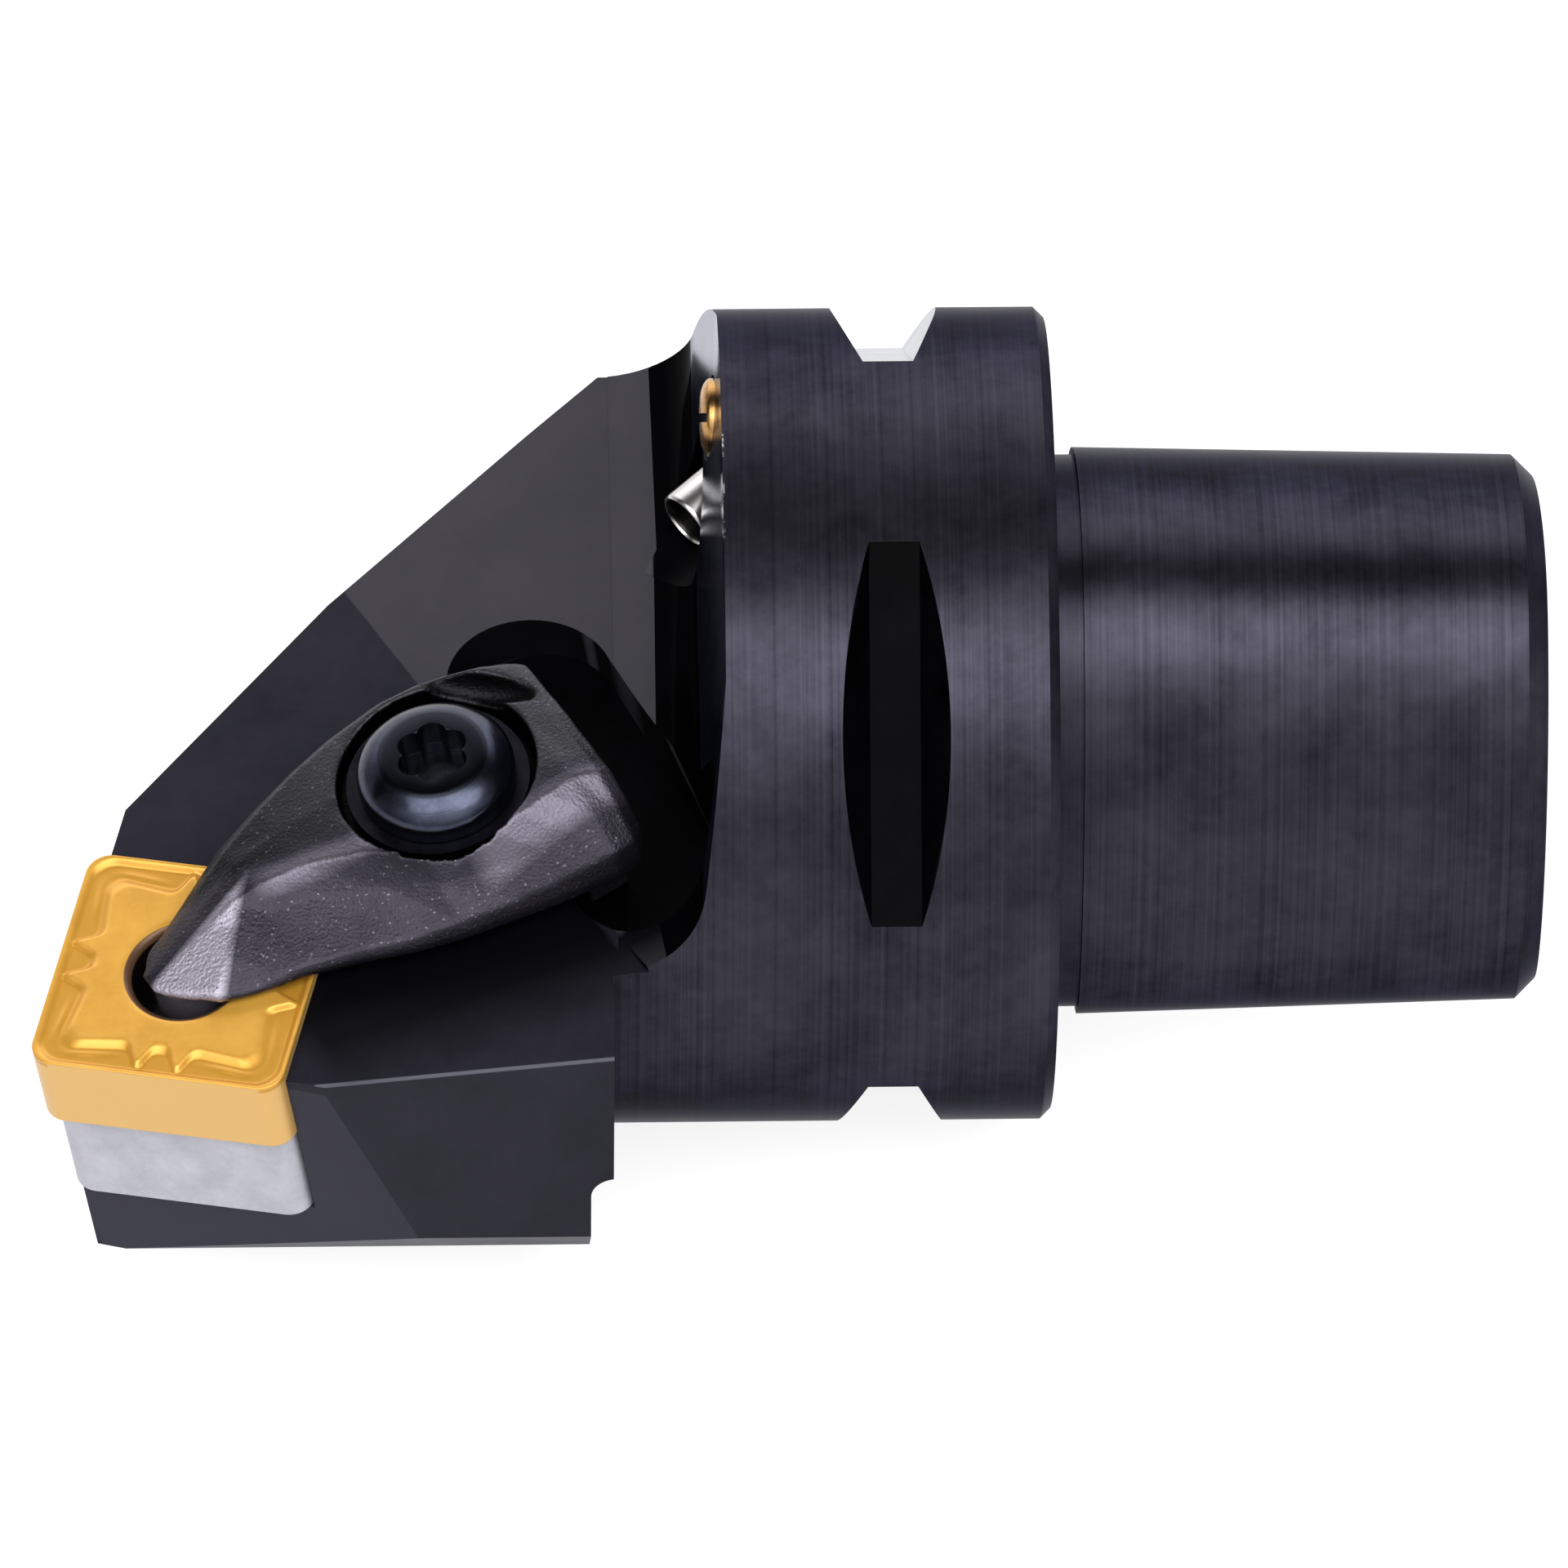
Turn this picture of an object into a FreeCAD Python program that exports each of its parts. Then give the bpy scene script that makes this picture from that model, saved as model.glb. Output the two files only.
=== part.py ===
import FreeCAD, Part
import math
import os

# Right-hand turning head with a three-lobed taper shank, a square insert and a top clamp.
# Millimetres. X runs along the tool axis towards the machine, X = 0 is the gauge face of
# the flange. Y is across the tool and the cutting side is -Y. Z is up.

V = FreeCAD.Vector

# Flange
FLANGE_RADIUS = 20.0
FLANGE_LENGTH = 16.1
FLANGE_REAR_CHAMFER = 0.5
FLANGE_FRONT_CHAMFER = 0.15
GRIP_SLOT_CENTRE = 7.9
GRIP_SLOT_FLOOR_WIDTH = 2.44
GRIP_SLOT_DEPTH = 2.3
GRIP_SLOT_FLANK = math.radians(31)
GRIP_SLOT_COUNT = 4

# Three-lobed taper shank
SHANK_RADIUS = 14.0
SHANK_LENGTH = 24.0
SHANK_TAPER = 1.0 / 40
LOBE_HEIGHT = 0.9
LOBE_ANGLE = math.radians(225)
PROFILE_POINTS = 36
NECK_LENGTH = 1.4
NECK_DEPTH = 0.4
SHANK_CHAMFER = 1.0

# Bore of the shank, with the groove for the clamping segments and the drawbar thread
BORE_RADIUS = 9.0
BORE_DEPTH = 15.0
BORE_CHAMFER = 0.6
GROOVE_DEPTH = 1.4
GROOVE_START = 5.0
GROOVE_LENGTH = 3.5
DRAWBAR_RADIUS = 6.25
DRAWBAR_DEPTH = 30.0
DRILL_POINT = 2.0

# Head, cut from a round body that carries on in front of the flange
HEAD_TOP = 3.3
HEAD_BOTTOM = -16.2
HEAD_SIDE = -24.7
HEAD_BODY_LENGTH = 5.2
HEAD_REAR = -21.6
HEAD_REAR_STEP = 1.1
HEAD_STEP_HEIGHT = -7.4
HEAD_STEP_RADIUS = 1.3
SIDE_CHAMFER_WIDTH = 4.4
SIDE_CHAMFER_HEIGHT = 5.8
COVE_RADIUS = 5.0
FRONT_LEAN = math.radians(7)
FRONT_LEAN_TOP = 16.0
SHOULDER_FROM = (-22.0, 19.5)
SHOULDER_TO = (-35.3, 4.9)

# Insert: square, with no rake of its own, tipped in its pocket
NOSE_REACH = 50.0
NOSE_OFFSET = 22.0
LEAD_ANGLE = math.radians(15)
TIP_ANGLE = math.radians(6)
INSERT_SIDE = 12.7
INSERT_THICKNESS = 4.76
INSERT_CORNER = 1.2
INSERT_HOLE_RADIUS = 2.58
INSERT_RIM = 0.45
BREAKER_LAND = 0.35
BREAKER_WIDTH = 1.5
BREAKER_DEPTH = 0.22

# Shim and its pocket
SHIM_SIDE = 12.1
SHIM_THICKNESS = 6.35
SHIM_GAP = 0.15
FRONT_INSET = 0.8
SIDE_INSET = 1.06
NOSE_TOP_DROP = 0.6
CREASE_REACH = 18.4
SECOND_SHOULDER_NEAR = (-5.55, 9.5)
SECOND_SHOULDER_FAR = (1.51, 23.64)
CORNER_RELIEF = 1.0
FIT_GAP = 0.05

# Shim screw
SHIM_SCREW_RADIUS = 1.75
SHIM_SCREW_LENGTH = 10.5
SHIM_HEAD_RADIUS = 2.9
SHIM_HEAD_SINK = 0.25
SHIM_HEAD_DEPTH = 1.5
SHIM_HOLE_RADIUS = 2.0
SHIM_RECESS_RADIUS = 1.4
SHIM_TIP_CHAMFER = 0.3

# Clamp screw, with the places measured from the middle of the insert's top
SCREW_REACH = 15.0
SCREW_RADIUS = 2.0
SCREW_HEAD_RADIUS = 3.875
SCREW_HEAD_HEIGHT = 2.2
SCREW_HEAD_TOP = 5.7
SCREW_LENGTH = 18.0
RECESS_RADIUS = 1.75
RECESS_DEPTH = 1.4
RECESS_LOBES = 6
RECESS_LOBE_SHARE = 0.3
SCREW_FLAT_RADIUS = 2.36
SCREW_DOME_RADIUS = 3.49
SCREW_DOME_HEIGHT = 1.1
SCREW_RIM_HEIGHT = 0.44
SCREW_TIP_CHAMFER = 0.4
WASHER_RADIUS = 4.5
WASHER_THICKNESS = 0.9
RING_RADIUS = 2.36
RING_THICKNESS = 0.5
RING_PLAY = 0.35
RING_GROOVE_DEPTH = 0.4
RING_MOUTH = math.radians(70)

# Clamp arm
CLAMP_UNDERSIDE = 0.35
CLAMP_BORE_GAP = 0.12
CLAMP_WELL_RADIUS = 4.95
CLAMP_NOSE_RADIUS = 2.1
CLAMP_NOSE_SHIFT = 0.3
CLAMP_NOSE_DEPTH = 1.6
CLAMP_PAD_START = 3.2
CLAMP_PAD_LENGTH = 2.2
CLAMP_PAD_WIDTH = 5.0
HEEL_START = 19.5
HEEL_LENGTH = 2.2
HEEL_NEAR = -5.2
HEEL_WIDTH = 7.6
# Each station: reach, near edge, its height, near ridge, far ridge, ridge height, far edge, its height
CLAMP_STATIONS = (
    (-1.7, -1.1, 0.6, -0.5, 0.7, 1.1, 1.3, 0.6),
    (1.0, -3.2, 0.6, -1.4, 1.3, 2.1, 3.2, 0.6),
    (4.5, -4.2, 0.7, -1.5, 2.0, 3.2, 4.3, 0.8),
    (9.5, -5.9, 0.9, -3.7, 3.4, 4.4, 5.1, 1.7),
    (15.0, -7.2, 1.0, -5.1, 4.7, 4.7, 5.5, 2.9),
    (20.0, -8.2, 1.0, -5.8, 3.7, 4.5, 4.7, 2.8),
    (22.0, -7.4, 1.3, -5.1, 3.0, 3.6, 3.5, 2.1),
)

# Pocket for the heel of the clamp, a slot with round ends
HEEL_SLOT_RADIUS = 4.1
HEEL_SLOT_FAR = (23.2, 6.0)
HEEL_SLOT_NEAR = (21.8, -7.6)
HEEL_SLOT_FLOOR = -4.6

# Spring under the clamp arm
SPRING_RADIUS = 2.75
SPRING_WIRE = 0.6
SPRING_TURNS = 4.0
SPRING_FLATS = 8
SPRING_POCKET_GAP = 0.15
SPRING_POCKET_DEPTH = 4.6

# Coolant nozzle: a ball with a tube pressed in, aimed at the nose of the insert
MOUTH_STANDS_OUT = 1.6
MOUTH_SIDE = 0.325 * FLANGE_RADIUS
MOUTH_HEIGHT = 0.35 * FLANGE_RADIUS
NOZZLE_REACH = 6.2
TUBE_RADIUS = 1.55
TUBE_WALL = 0.3
TUBE_SOCKET = 0.4
BALL_RADIUS = 2.3
BALL_BORE = 0.9
BALL_GAP = 0.04
BALL_CLEARANCE = 0.1
RETAINER_RADIUS = 2.9
RETAINER_FRONT = 1.45
RETAINER_BACK = 0.2
RETAINER_HOLE = 1.82
SEAL_RADIUS = 1.75
SEAL_SECTION = 0.55
SEAL_GAP = 0.03
POCKET_OVERRUN = 2.3
CHANNEL_RADIUS = 1.2
CHANNEL_START = 3.0
CHANNEL_START_RADIUS = 5.9
CHANNEL_OVERLAP = 0.5

# Slotted brass plug of the second coolant port
PLUG_SIDE = 0.405 * FLANGE_RADIUS
PLUG_HEIGHT = 0.64 * FLANGE_RADIUS
PLUG_RADIUS = 1.95
PLUG_HEAD = 0.9
PLUG_DOME = ((0.98, 0.84), (1.66, 0.62), (1.95, 0.45))
PLUG_SPOT_GAP = 0.15
PLUG_STEM_RADIUS = 1.6
PLUG_STEM_LENGTH = 4.0
PLUG_SLOT_WIDTH = 0.45
PLUG_SLOT_DEPTH = 0.4
PORT_DEPTH = 5.6

# Size of the blocks that only trim something away, and how far a cut runs past a face
CLEAR = 80.0
PAST = 1.0

INSERT_RUN = INSERT_SIDE / 2
POCKET_FLOOR = -(INSERT_THICKNESS + SHIM_THICKNESS)
SCREW_SEAT = SCREW_HEAD_TOP - SCREW_HEAD_HEIGHT
WASHER_SEAT = SCREW_SEAT - WASHER_THICKNESS
SPRING_FLOOR = -NOSE_TOP_DROP - SPRING_POCKET_DEPTH
NOSE = V(-NOSE_REACH, -NOSE_OFFSET, 0)
NOZZLE_MOUTH = V(-FLANGE_LENGTH - MOUTH_STANDS_OUT, MOUTH_SIDE, MOUTH_HEIGHT)


def insert_frame():
    """Axes of the insert: along its two seat sides, and square to its top."""
    rise = math.sin(TIP_ANGLE)
    run = math.cos(TIP_ANGLE)
    turn = math.acos(-math.tan(TIP_ANGLE) ** 2) - LEAD_ANGLE
    first = V(run * math.cos(LEAD_ANGLE), -run * math.sin(LEAD_ANGLE), rise)
    second = V(run * math.cos(turn), run * math.sin(turn), rise)
    return first, second, first.cross(second)


FIRST, SECOND, UP = insert_frame()
INSERT_CENTRE = NOSE + (FIRST + SECOND) * INSERT_RUN
SEAT = FreeCAD.Placement(INSERT_CENTRE, FreeCAD.Rotation(FIRST, SECOND, UP, "ZXY"))
DIAGONAL = (FIRST + SECOND).normalize()
ACROSS = (SECOND - FIRST).normalize()
CLAMP = FreeCAD.Placement(INSERT_CENTRE, FreeCAD.Rotation(DIAGONAL, ACROSS, UP, "ZXY"))

AIM = (NOSE - NOZZLE_MOUTH).normalize()
BALL_CENTRE = NOZZLE_MOUTH - AIM * NOZZLE_REACH
NOZZLE = FreeCAD.Placement(BALL_CENTRE, FreeCAD.Rotation(V(0, 0, 1), AIM))


def placed(shape, placement):
    """A shape drawn in its own frame, moved to its place on the tool."""
    moved = shape.copy()
    moved.Placement = placement.multiply(moved.Placement)
    return moved


def rod(radius, low, high, x=0.0, y=0.0):
    """Upright cylinder between two heights."""
    return Part.makeCylinder(radius, high - low, V(x, y, low), V(0, 0, 1))


def block(low, high):
    """Box between two corners."""
    return Part.makeBox(high[0] - low[0], high[1] - low[1], high[2] - low[2], V(*low))


def turned(points, axis=V(0, 0, 1)):
    """Solid of revolution. Each point is (radius, place along the axis)."""
    if axis.x:
        corners = [V(place, 0, radius) for radius, place in points]
    else:
        corners = [V(radius, 0, place) for radius, place in points]
    face = Part.Face(Part.makePolygon(corners + corners[:1]))
    return face.revolve(V(0, 0, 0), axis, 360)


def rounded_square(side, corner, low, high):
    """Square plate with rounded corners, centred on the frame's origin."""
    half = side / 2
    plate = block((-half, -half, low), (half, half, high))
    upright = [edge for edge in plate.Edges if abs(edge.tangentAt(edge.FirstParameter).z) > 0.9]
    return plate.makeFillet(corner, upright)


def star(radius, lobes, low, high):
    """Six-lobed driver recess."""
    lobe = radius * RECESS_LOBE_SHARE
    shape = rod(radius - lobe, low, high)
    for k in range(lobes):
        angle = 2 * math.pi * k / lobes
        x = (radius - lobe) * math.cos(angle)
        y = (radius - lobe) * math.sin(angle)
        shape = shape.fuse(rod(lobe, low, high, x, y))
    return shape


def lobed_wire(x, radius):
    """Closed three-lobed curve in the plane at x."""
    points = []
    for k in range(PROFILE_POINTS):
        angle = 2 * math.pi * k / PROFILE_POINTS
        phase = 3 * (angle - LOBE_ANGLE)
        reach = radius + LOBE_HEIGHT * math.cos(phase)
        slide = -3 * LOBE_HEIGHT * math.sin(phase)
        y = reach * math.cos(angle) - slide * math.sin(angle)
        z = reach * math.sin(angle) + slide * math.cos(angle)
        points.append(V(x, y, z))
    curve = Part.BSplineCurve()
    curve.interpolate(Points=points, PeriodicFlag=True)
    return Part.Wire([curve.toShape()])


def lobed_length(x0, radius0, x1, radius1):
    """Straight length of the shank between two lobed sections."""
    return Part.makeLoft([lobed_wire(x0, radius0), lobed_wire(x1, radius1)], True, True)


def taper_radius(x):
    """Mean radius of the shank at x."""
    return SHANK_RADIUS - x * SHANK_TAPER


def shank():
    """Taper shank with its neck relief and end chamfer."""
    chamfer_start = SHANK_LENGTH - SHANK_CHAMFER
    neck = lobed_length(-PAST, SHANK_RADIUS - NECK_DEPTH, NECK_LENGTH, SHANK_RADIUS - NECK_DEPTH)
    taper = lobed_length(NECK_LENGTH, taper_radius(NECK_LENGTH), chamfer_start, taper_radius(chamfer_start))
    end_radius = taper_radius(chamfer_start) - SHANK_CHAMFER
    end = lobed_length(chamfer_start, taper_radius(chamfer_start), SHANK_LENGTH, end_radius)
    return neck.fuse(taper).fuse(end)


def shank_bore():
    """Bore, clamping groove and drawbar hole, as one turned cutter."""
    mouth = SHANK_LENGTH
    groove = mouth - GROOVE_START
    groove_end = groove - GROOVE_LENGTH
    floor = mouth - BORE_DEPTH
    thread_end = mouth - DRAWBAR_DEPTH
    return turned([
        (0, mouth + PAST),
        (BORE_RADIUS + BORE_CHAMFER + PAST, mouth + PAST),
        (BORE_RADIUS, mouth - BORE_CHAMFER),
        (BORE_RADIUS, groove),
        (BORE_RADIUS + GROOVE_DEPTH, groove - GROOVE_DEPTH),
        (BORE_RADIUS + GROOVE_DEPTH, groove_end),
        (BORE_RADIUS, groove_end),
        (BORE_RADIUS, floor),
        (DRAWBAR_RADIUS, floor),
        (DRAWBAR_RADIUS, thread_end),
        (0, thread_end - DRILL_POINT),
    ], V(1, 0, 0))


def flange():
    """Round flange with small edge chamfers."""
    rear = FLANGE_REAR_CHAMFER
    front = FLANGE_FRONT_CHAMFER
    return turned([
        (0, 0),
        (FLANGE_RADIUS - rear, 0),
        (FLANGE_RADIUS, -rear),
        (FLANGE_RADIUS, front - FLANGE_LENGTH),
        (FLANGE_RADIUS - front, -FLANGE_LENGTH),
        (0, -FLANGE_LENGTH),
    ], V(1, 0, 0))


def grip_slots():
    """Straight trapezoid slots round the flange, for the tool gripper."""
    floor = FLANGE_RADIUS - GRIP_SLOT_DEPTH
    top = FLANGE_RADIUS + GRIP_SLOT_DEPTH
    half = GRIP_SLOT_FLOOR_WIDTH / 2
    spread = half + (top - floor) * math.tan(GRIP_SLOT_FLANK)
    middle = -GRIP_SLOT_CENTRE
    corners = [
        V(middle - half, -FLANGE_RADIUS, floor),
        V(middle + half, -FLANGE_RADIUS, floor),
        V(middle + spread, -FLANGE_RADIUS, top),
        V(middle - spread, -FLANGE_RADIUS, top),
    ]
    cutter = Part.Face(Part.makePolygon(corners + corners[:1])).extrude(V(0, 2 * FLANGE_RADIUS, 0))
    slots = []
    for k in range(GRIP_SLOT_COUNT):
        slot = cutter.copy()
        slot.rotate(V(0, 0, 0), V(1, 0, 0), 45 + 360.0 * k / GRIP_SLOT_COUNT)
        slots.append(slot)
    return slots


def head_section():
    """Outline of the head across the tool: round at the back, flat below, chamfered in front."""
    far_top = math.sqrt(FLANGE_RADIUS ** 2 - HEAD_TOP ** 2)
    far_low = math.sqrt(FLANGE_RADIUS ** 2 - HEAD_BOTTOM ** 2)
    low_y = HEAD_SIDE + SIDE_CHAMFER_WIDTH
    chamfer_z = HEAD_BOTTOM + SIDE_CHAMFER_HEIGHT
    start = -CLEAR
    arc = Part.Arc(V(start, far_low, HEAD_BOTTOM), V(start, FLANGE_RADIUS, 0), V(start, far_top, HEAD_TOP))
    lines = Part.makePolygon([
        V(start, far_top, HEAD_TOP),
        V(start, HEAD_SIDE, HEAD_TOP),
        V(start, HEAD_SIDE, chamfer_z),
        V(start, low_y, HEAD_BOTTOM),
        V(start, far_low, HEAD_BOTTOM),
    ])
    return Part.Face(Part.Wire([arc.toShape()] + lines.Edges))


def shoulder_cutter():
    """Block that trims the far corner of the head along the shoulder line."""
    start = V(SHOULDER_FROM[0], SHOULDER_FROM[1], -CLEAR)
    along = V(SHOULDER_TO[0] - SHOULDER_FROM[0], SHOULDER_TO[1] - SHOULDER_FROM[1], 0).normalize()
    away = V(along.y, -along.x, 0) * CLEAR
    near = start - along * CLEAR
    corners = [near, near + along * 2 * CLEAR, near + along * 2 * CLEAR + away, near + away]
    return Part.Face(Part.makePolygon(corners + corners[:1])).extrude(V(0, 0, 2 * CLEAR))


def second_shoulder_cutter():
    """Trim of the front shoulder, square to the insert's top."""
    start = V(SECOND_SHOULDER_NEAR[0], SECOND_SHOULDER_NEAR[1], -CLEAR)
    end = V(SECOND_SHOULDER_FAR[0], SECOND_SHOULDER_FAR[1], -CLEAR)
    along = (end - start).normalize()
    away = V(-along.y, along.x, 0) * CLEAR
    near = start - along * CLEAR
    corners = [near, near + along * 2 * CLEAR, near + along * 2 * CLEAR + away, near + away]
    trim = Part.Face(Part.makePolygon(corners + corners[:1])).extrude(V(0, 0, 2 * CLEAR))
    return placed(trim, SEAT)


def head_block():
    """Head in front of the round body, before its pockets."""
    head = head_section().extrude(V(CLEAR - FLANGE_LENGTH, 0, 0))
    outside = block((HEAD_REAR, -CLEAR, -CLEAR), (CLEAR, CLEAR, CLEAR))
    step_x = HEAD_REAR - HEAD_REAR_STEP
    outside = outside.fuse(block((step_x, -CLEAR, -CLEAR), (CLEAR, CLEAR, HEAD_STEP_HEIGHT)))
    cove = Part.makeCylinder(HEAD_STEP_RADIUS, CLEAR, V(step_x + HEAD_STEP_RADIUS, -CLEAR, HEAD_STEP_HEIGHT),
                             V(0, 1, 0))
    core = Part.makeCylinder(FLANGE_RADIUS, 2 * CLEAR, V(-CLEAR, 0, 0), V(1, 0, 0))
    head = head.cut(outside.fuse(cove).cut(core))
    head = head.cut(shoulder_cutter()).cut(second_shoulder_cutter())
    front = -INSERT_RUN + FRONT_INSET
    side = -INSERT_RUN + SIDE_INSET
    head = head.cut(placed(block((-CLEAR, -CLEAR, -CLEAR), (front, CLEAR, CLEAR)), SEAT))
    head = head.cut(placed(block((-CLEAR, -CLEAR, -CLEAR), (CLEAR, side, CLEAR)), SEAT))
    return head


def round_body():
    """Round body in front of the flange, opened by a cove down to the top of the head."""
    length = FLANGE_LENGTH + HEAD_BODY_LENGTH
    return Part.makeCylinder(FLANGE_RADIUS, HEAD_BODY_LENGTH + PAST, V(-length, 0, 0), V(1, 0, 0))


def top_cutter():
    """Everything above the head, with a cove up to the leaning front of the flange."""
    front = -FLANGE_LENGTH
    foot = front - (FRONT_LEAN_TOP - HEAD_TOP) * math.tan(FRONT_LEAN)
    corners = [
        V(-CLEAR, -CLEAR, HEAD_TOP),
        V(foot, -CLEAR, HEAD_TOP),
        V(front, -CLEAR, FRONT_LEAN_TOP),
        V(front, -CLEAR, CLEAR),
        V(-CLEAR, -CLEAR, CLEAR),
    ]
    space = Part.Face(Part.makePolygon(corners + corners[:1])).extrude(V(0, 2 * CLEAR, 0))
    low = [edge for edge in space.Edges
           if abs(edge.CenterOfMass.x - foot) < 0.01 and abs(edge.CenterOfMass.z - HEAD_TOP) < 0.01]
    return space.makeFillet(COVE_RADIUS, low)


def nose_cutter():
    """Top of the head in front of its crease, parallel to the insert."""
    return placed(block((-CLEAR, -CLEAR, -NOSE_TOP_DROP), (CREASE_REACH, CLEAR, CLEAR)), CLAMP)


def seat_pocket():
    """Pocket of the insert and shim, with the relief in its inner corner."""
    edge = INSERT_RUN
    pocket = block((-CLEAR, -CLEAR, POCKET_FLOOR), (edge, edge, CLEAR))
    relief = rod(CORNER_RELIEF, POCKET_FLOOR, CLEAR, edge - CORNER_RELIEF / 3, edge - CORNER_RELIEF / 3)
    return placed(pocket.fuse(relief), SEAT)


def heel_slot():
    """Slot with round ends behind the clamp."""
    far = V(HEEL_SLOT_FAR[0], HEEL_SLOT_FAR[1], HEEL_SLOT_FLOOR)
    near = V(HEEL_SLOT_NEAR[0], HEEL_SLOT_NEAR[1], HEEL_SLOT_FLOOR)
    along = (far - near).normalize()
    side = V(along.y, -along.x, 0) * HEEL_SLOT_RADIUS
    outer_far = far + along * HEEL_SLOT_RADIUS
    outer_near = near - along * HEEL_SLOT_RADIUS
    outline = Part.Wire([
        Part.LineSegment(near + side, far + side).toShape(),
        Part.Arc(far + side, outer_far, far - side).toShape(),
        Part.LineSegment(far - side, near - side).toShape(),
        Part.Arc(near - side, outer_near, near + side).toShape(),
    ])
    return placed(Part.Face(outline).extrude(V(0, 0, CLEAR)), CLAMP)


def clamp_holes():
    """Spring pocket and tapped hole of the clamp screw."""
    pocket_radius = SPRING_RADIUS + SPRING_WIRE / 2 + SPRING_POCKET_GAP
    pocket = rod(pocket_radius, SPRING_FLOOR, CLAMP_UNDERSIDE, SCREW_REACH)
    depth = SCREW_SEAT - SCREW_LENGTH - PAST
    return placed(pocket.fuse(rod(SCREW_RADIUS + FIT_GAP, depth, 0, SCREW_REACH)), CLAMP)


def shim_screw_hole():
    """Tapped hole in the floor of the pocket."""
    depth = -INSERT_THICKNESS - SHIM_HEAD_SINK - SHIM_SCREW_LENGTH - SHIM_TIP_CHAMFER
    return placed(rod(SHIM_SCREW_RADIUS + FIT_GAP, depth, POCKET_FLOOR + PAST), SEAT)


def seal_height():
    """Place of the seal ring behind the ball, just clear of it."""
    reach = BALL_RADIUS + SEAL_SECTION + SEAL_GAP
    return -math.sqrt(reach ** 2 - SEAL_RADIUS ** 2)


def drilling(start, end, radius):
    """Straight hole between two points."""
    return Part.makeCylinder(radius, (end - start).Length, start, end - start)


def channel_to(point):
    """Coolant drilling from the drawbar hole to a point in the flange."""
    angle = math.atan2(point.z, point.y)
    side = CHANNEL_START_RADIUS * math.cos(angle)
    mouth = V(CHANNEL_START, side, CHANNEL_START_RADIUS * math.sin(angle))
    return drilling(mouth, point, CHANNEL_RADIUS)


def nozzle_pocket():
    """Stepped pocket of the nozzle ball with its feed drilling."""
    floor = seal_height() - SEAL_SECTION
    wide = rod(RETAINER_RADIUS, RETAINER_BACK, NOZZLE_REACH + POCKET_OVERRUN)
    narrow = rod(BALL_RADIUS + BALL_CLEARANCE, floor, RETAINER_BACK + PAST)
    pocket = placed(wide.fuse(narrow), NOZZLE)
    return pocket.fuse(channel_to(NOZZLE.multVec(V(0, 0, floor + CHANNEL_OVERLAP))))


def plug_port():
    """Second coolant port, closed by the brass plug."""
    start = V(-FLANGE_LENGTH - PAST, PLUG_SIDE, PLUG_HEIGHT)
    end = V(-FLANGE_LENGTH + PORT_DEPTH, PLUG_SIDE, PLUG_HEIGHT)
    port = drilling(start, end, PLUG_STEM_RADIUS)
    spot = drilling(start, start + V(PAST, 0, 0), PLUG_RADIUS + PLUG_SPOT_GAP)
    return port.fuse(spot).fuse(channel_to(end - V(CHANNEL_OVERLAP, 0, 0)))


def holder_body():
    """The one-piece steel body."""
    body = flange().fuse(round_body()).fuse(head_block()).fuse(shank())
    cutters = grip_slots()
    cutters += [top_cutter(), nose_cutter(), seat_pocket(), heel_slot()]
    cutters += [clamp_holes(), shim_screw_hole(), nozzle_pocket(), plug_port(), shank_bore()]
    for cutter in cutters:
        body = body.cut(cutter)
    return body.removeSplitter()


def insert_hole():
    """Through hole of the insert, flared at both faces."""
    low = -INSERT_THICKNESS
    wide = INSERT_HOLE_RADIUS + INSERT_RIM
    return turned([
        (0, low),
        (wide, low),
        (INSERT_HOLE_RADIUS, low + INSERT_RIM),
        (INSERT_HOLE_RADIUS, -INSERT_RIM),
        (wide, 0),
        (0, 0),
    ])


def breaker_groove(face, floor):
    """Square ring groove behind the cutting edges of one face."""
    outer = INSERT_SIDE - 2 * BREAKER_LAND
    inner = outer - 2 * BREAKER_WIDTH
    low = min(face, floor)
    high = max(face, floor)
    ring = rounded_square(outer, INSERT_CORNER - BREAKER_LAND, low, high)
    return ring.cut(rounded_square(inner, INSERT_CORNER / 2, low, high))


def cutting_insert():
    """Square insert with a chip groove on both faces."""
    plate = rounded_square(INSERT_SIDE, INSERT_CORNER, -INSERT_THICKNESS, 0)
    plate = plate.cut(insert_hole())
    plate = plate.cut(breaker_groove(0, -BREAKER_DEPTH))
    plate = plate.cut(breaker_groove(-INSERT_THICKNESS, BREAKER_DEPTH - INSERT_THICKNESS))
    return placed(plate, SEAT)


def shim_shift():
    """How far the shim's middle lies towards the inner corner."""
    return INSERT_RUN - SHIM_GAP - SHIM_SIDE / 2


def insert_shim():
    """Shim under the insert, with a countersunk hole."""
    top = -INSERT_THICKNESS
    shift = shim_shift()
    plate = rounded_square(SHIM_SIDE, INSERT_CORNER, POCKET_FLOOR, top)
    plate.translate(V(shift, shift, 0))
    seat = top - SHIM_HEAD_SINK
    cutter = turned([
        (0, top + PAST),
        (SHIM_HEAD_RADIUS + FIT_GAP, top + PAST),
        (SHIM_HEAD_RADIUS + FIT_GAP, seat - FIT_GAP),
        (SHIM_SCREW_RADIUS + FIT_GAP, seat - SHIM_HEAD_DEPTH - FIT_GAP),
        (SHIM_HOLE_RADIUS, seat - SHIM_HEAD_DEPTH - FIT_GAP),
        (SHIM_HOLE_RADIUS, POCKET_FLOOR - PAST),
        (0, POCKET_FLOOR - PAST),
    ])
    return placed(plate.cut(cutter), SEAT)


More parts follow.
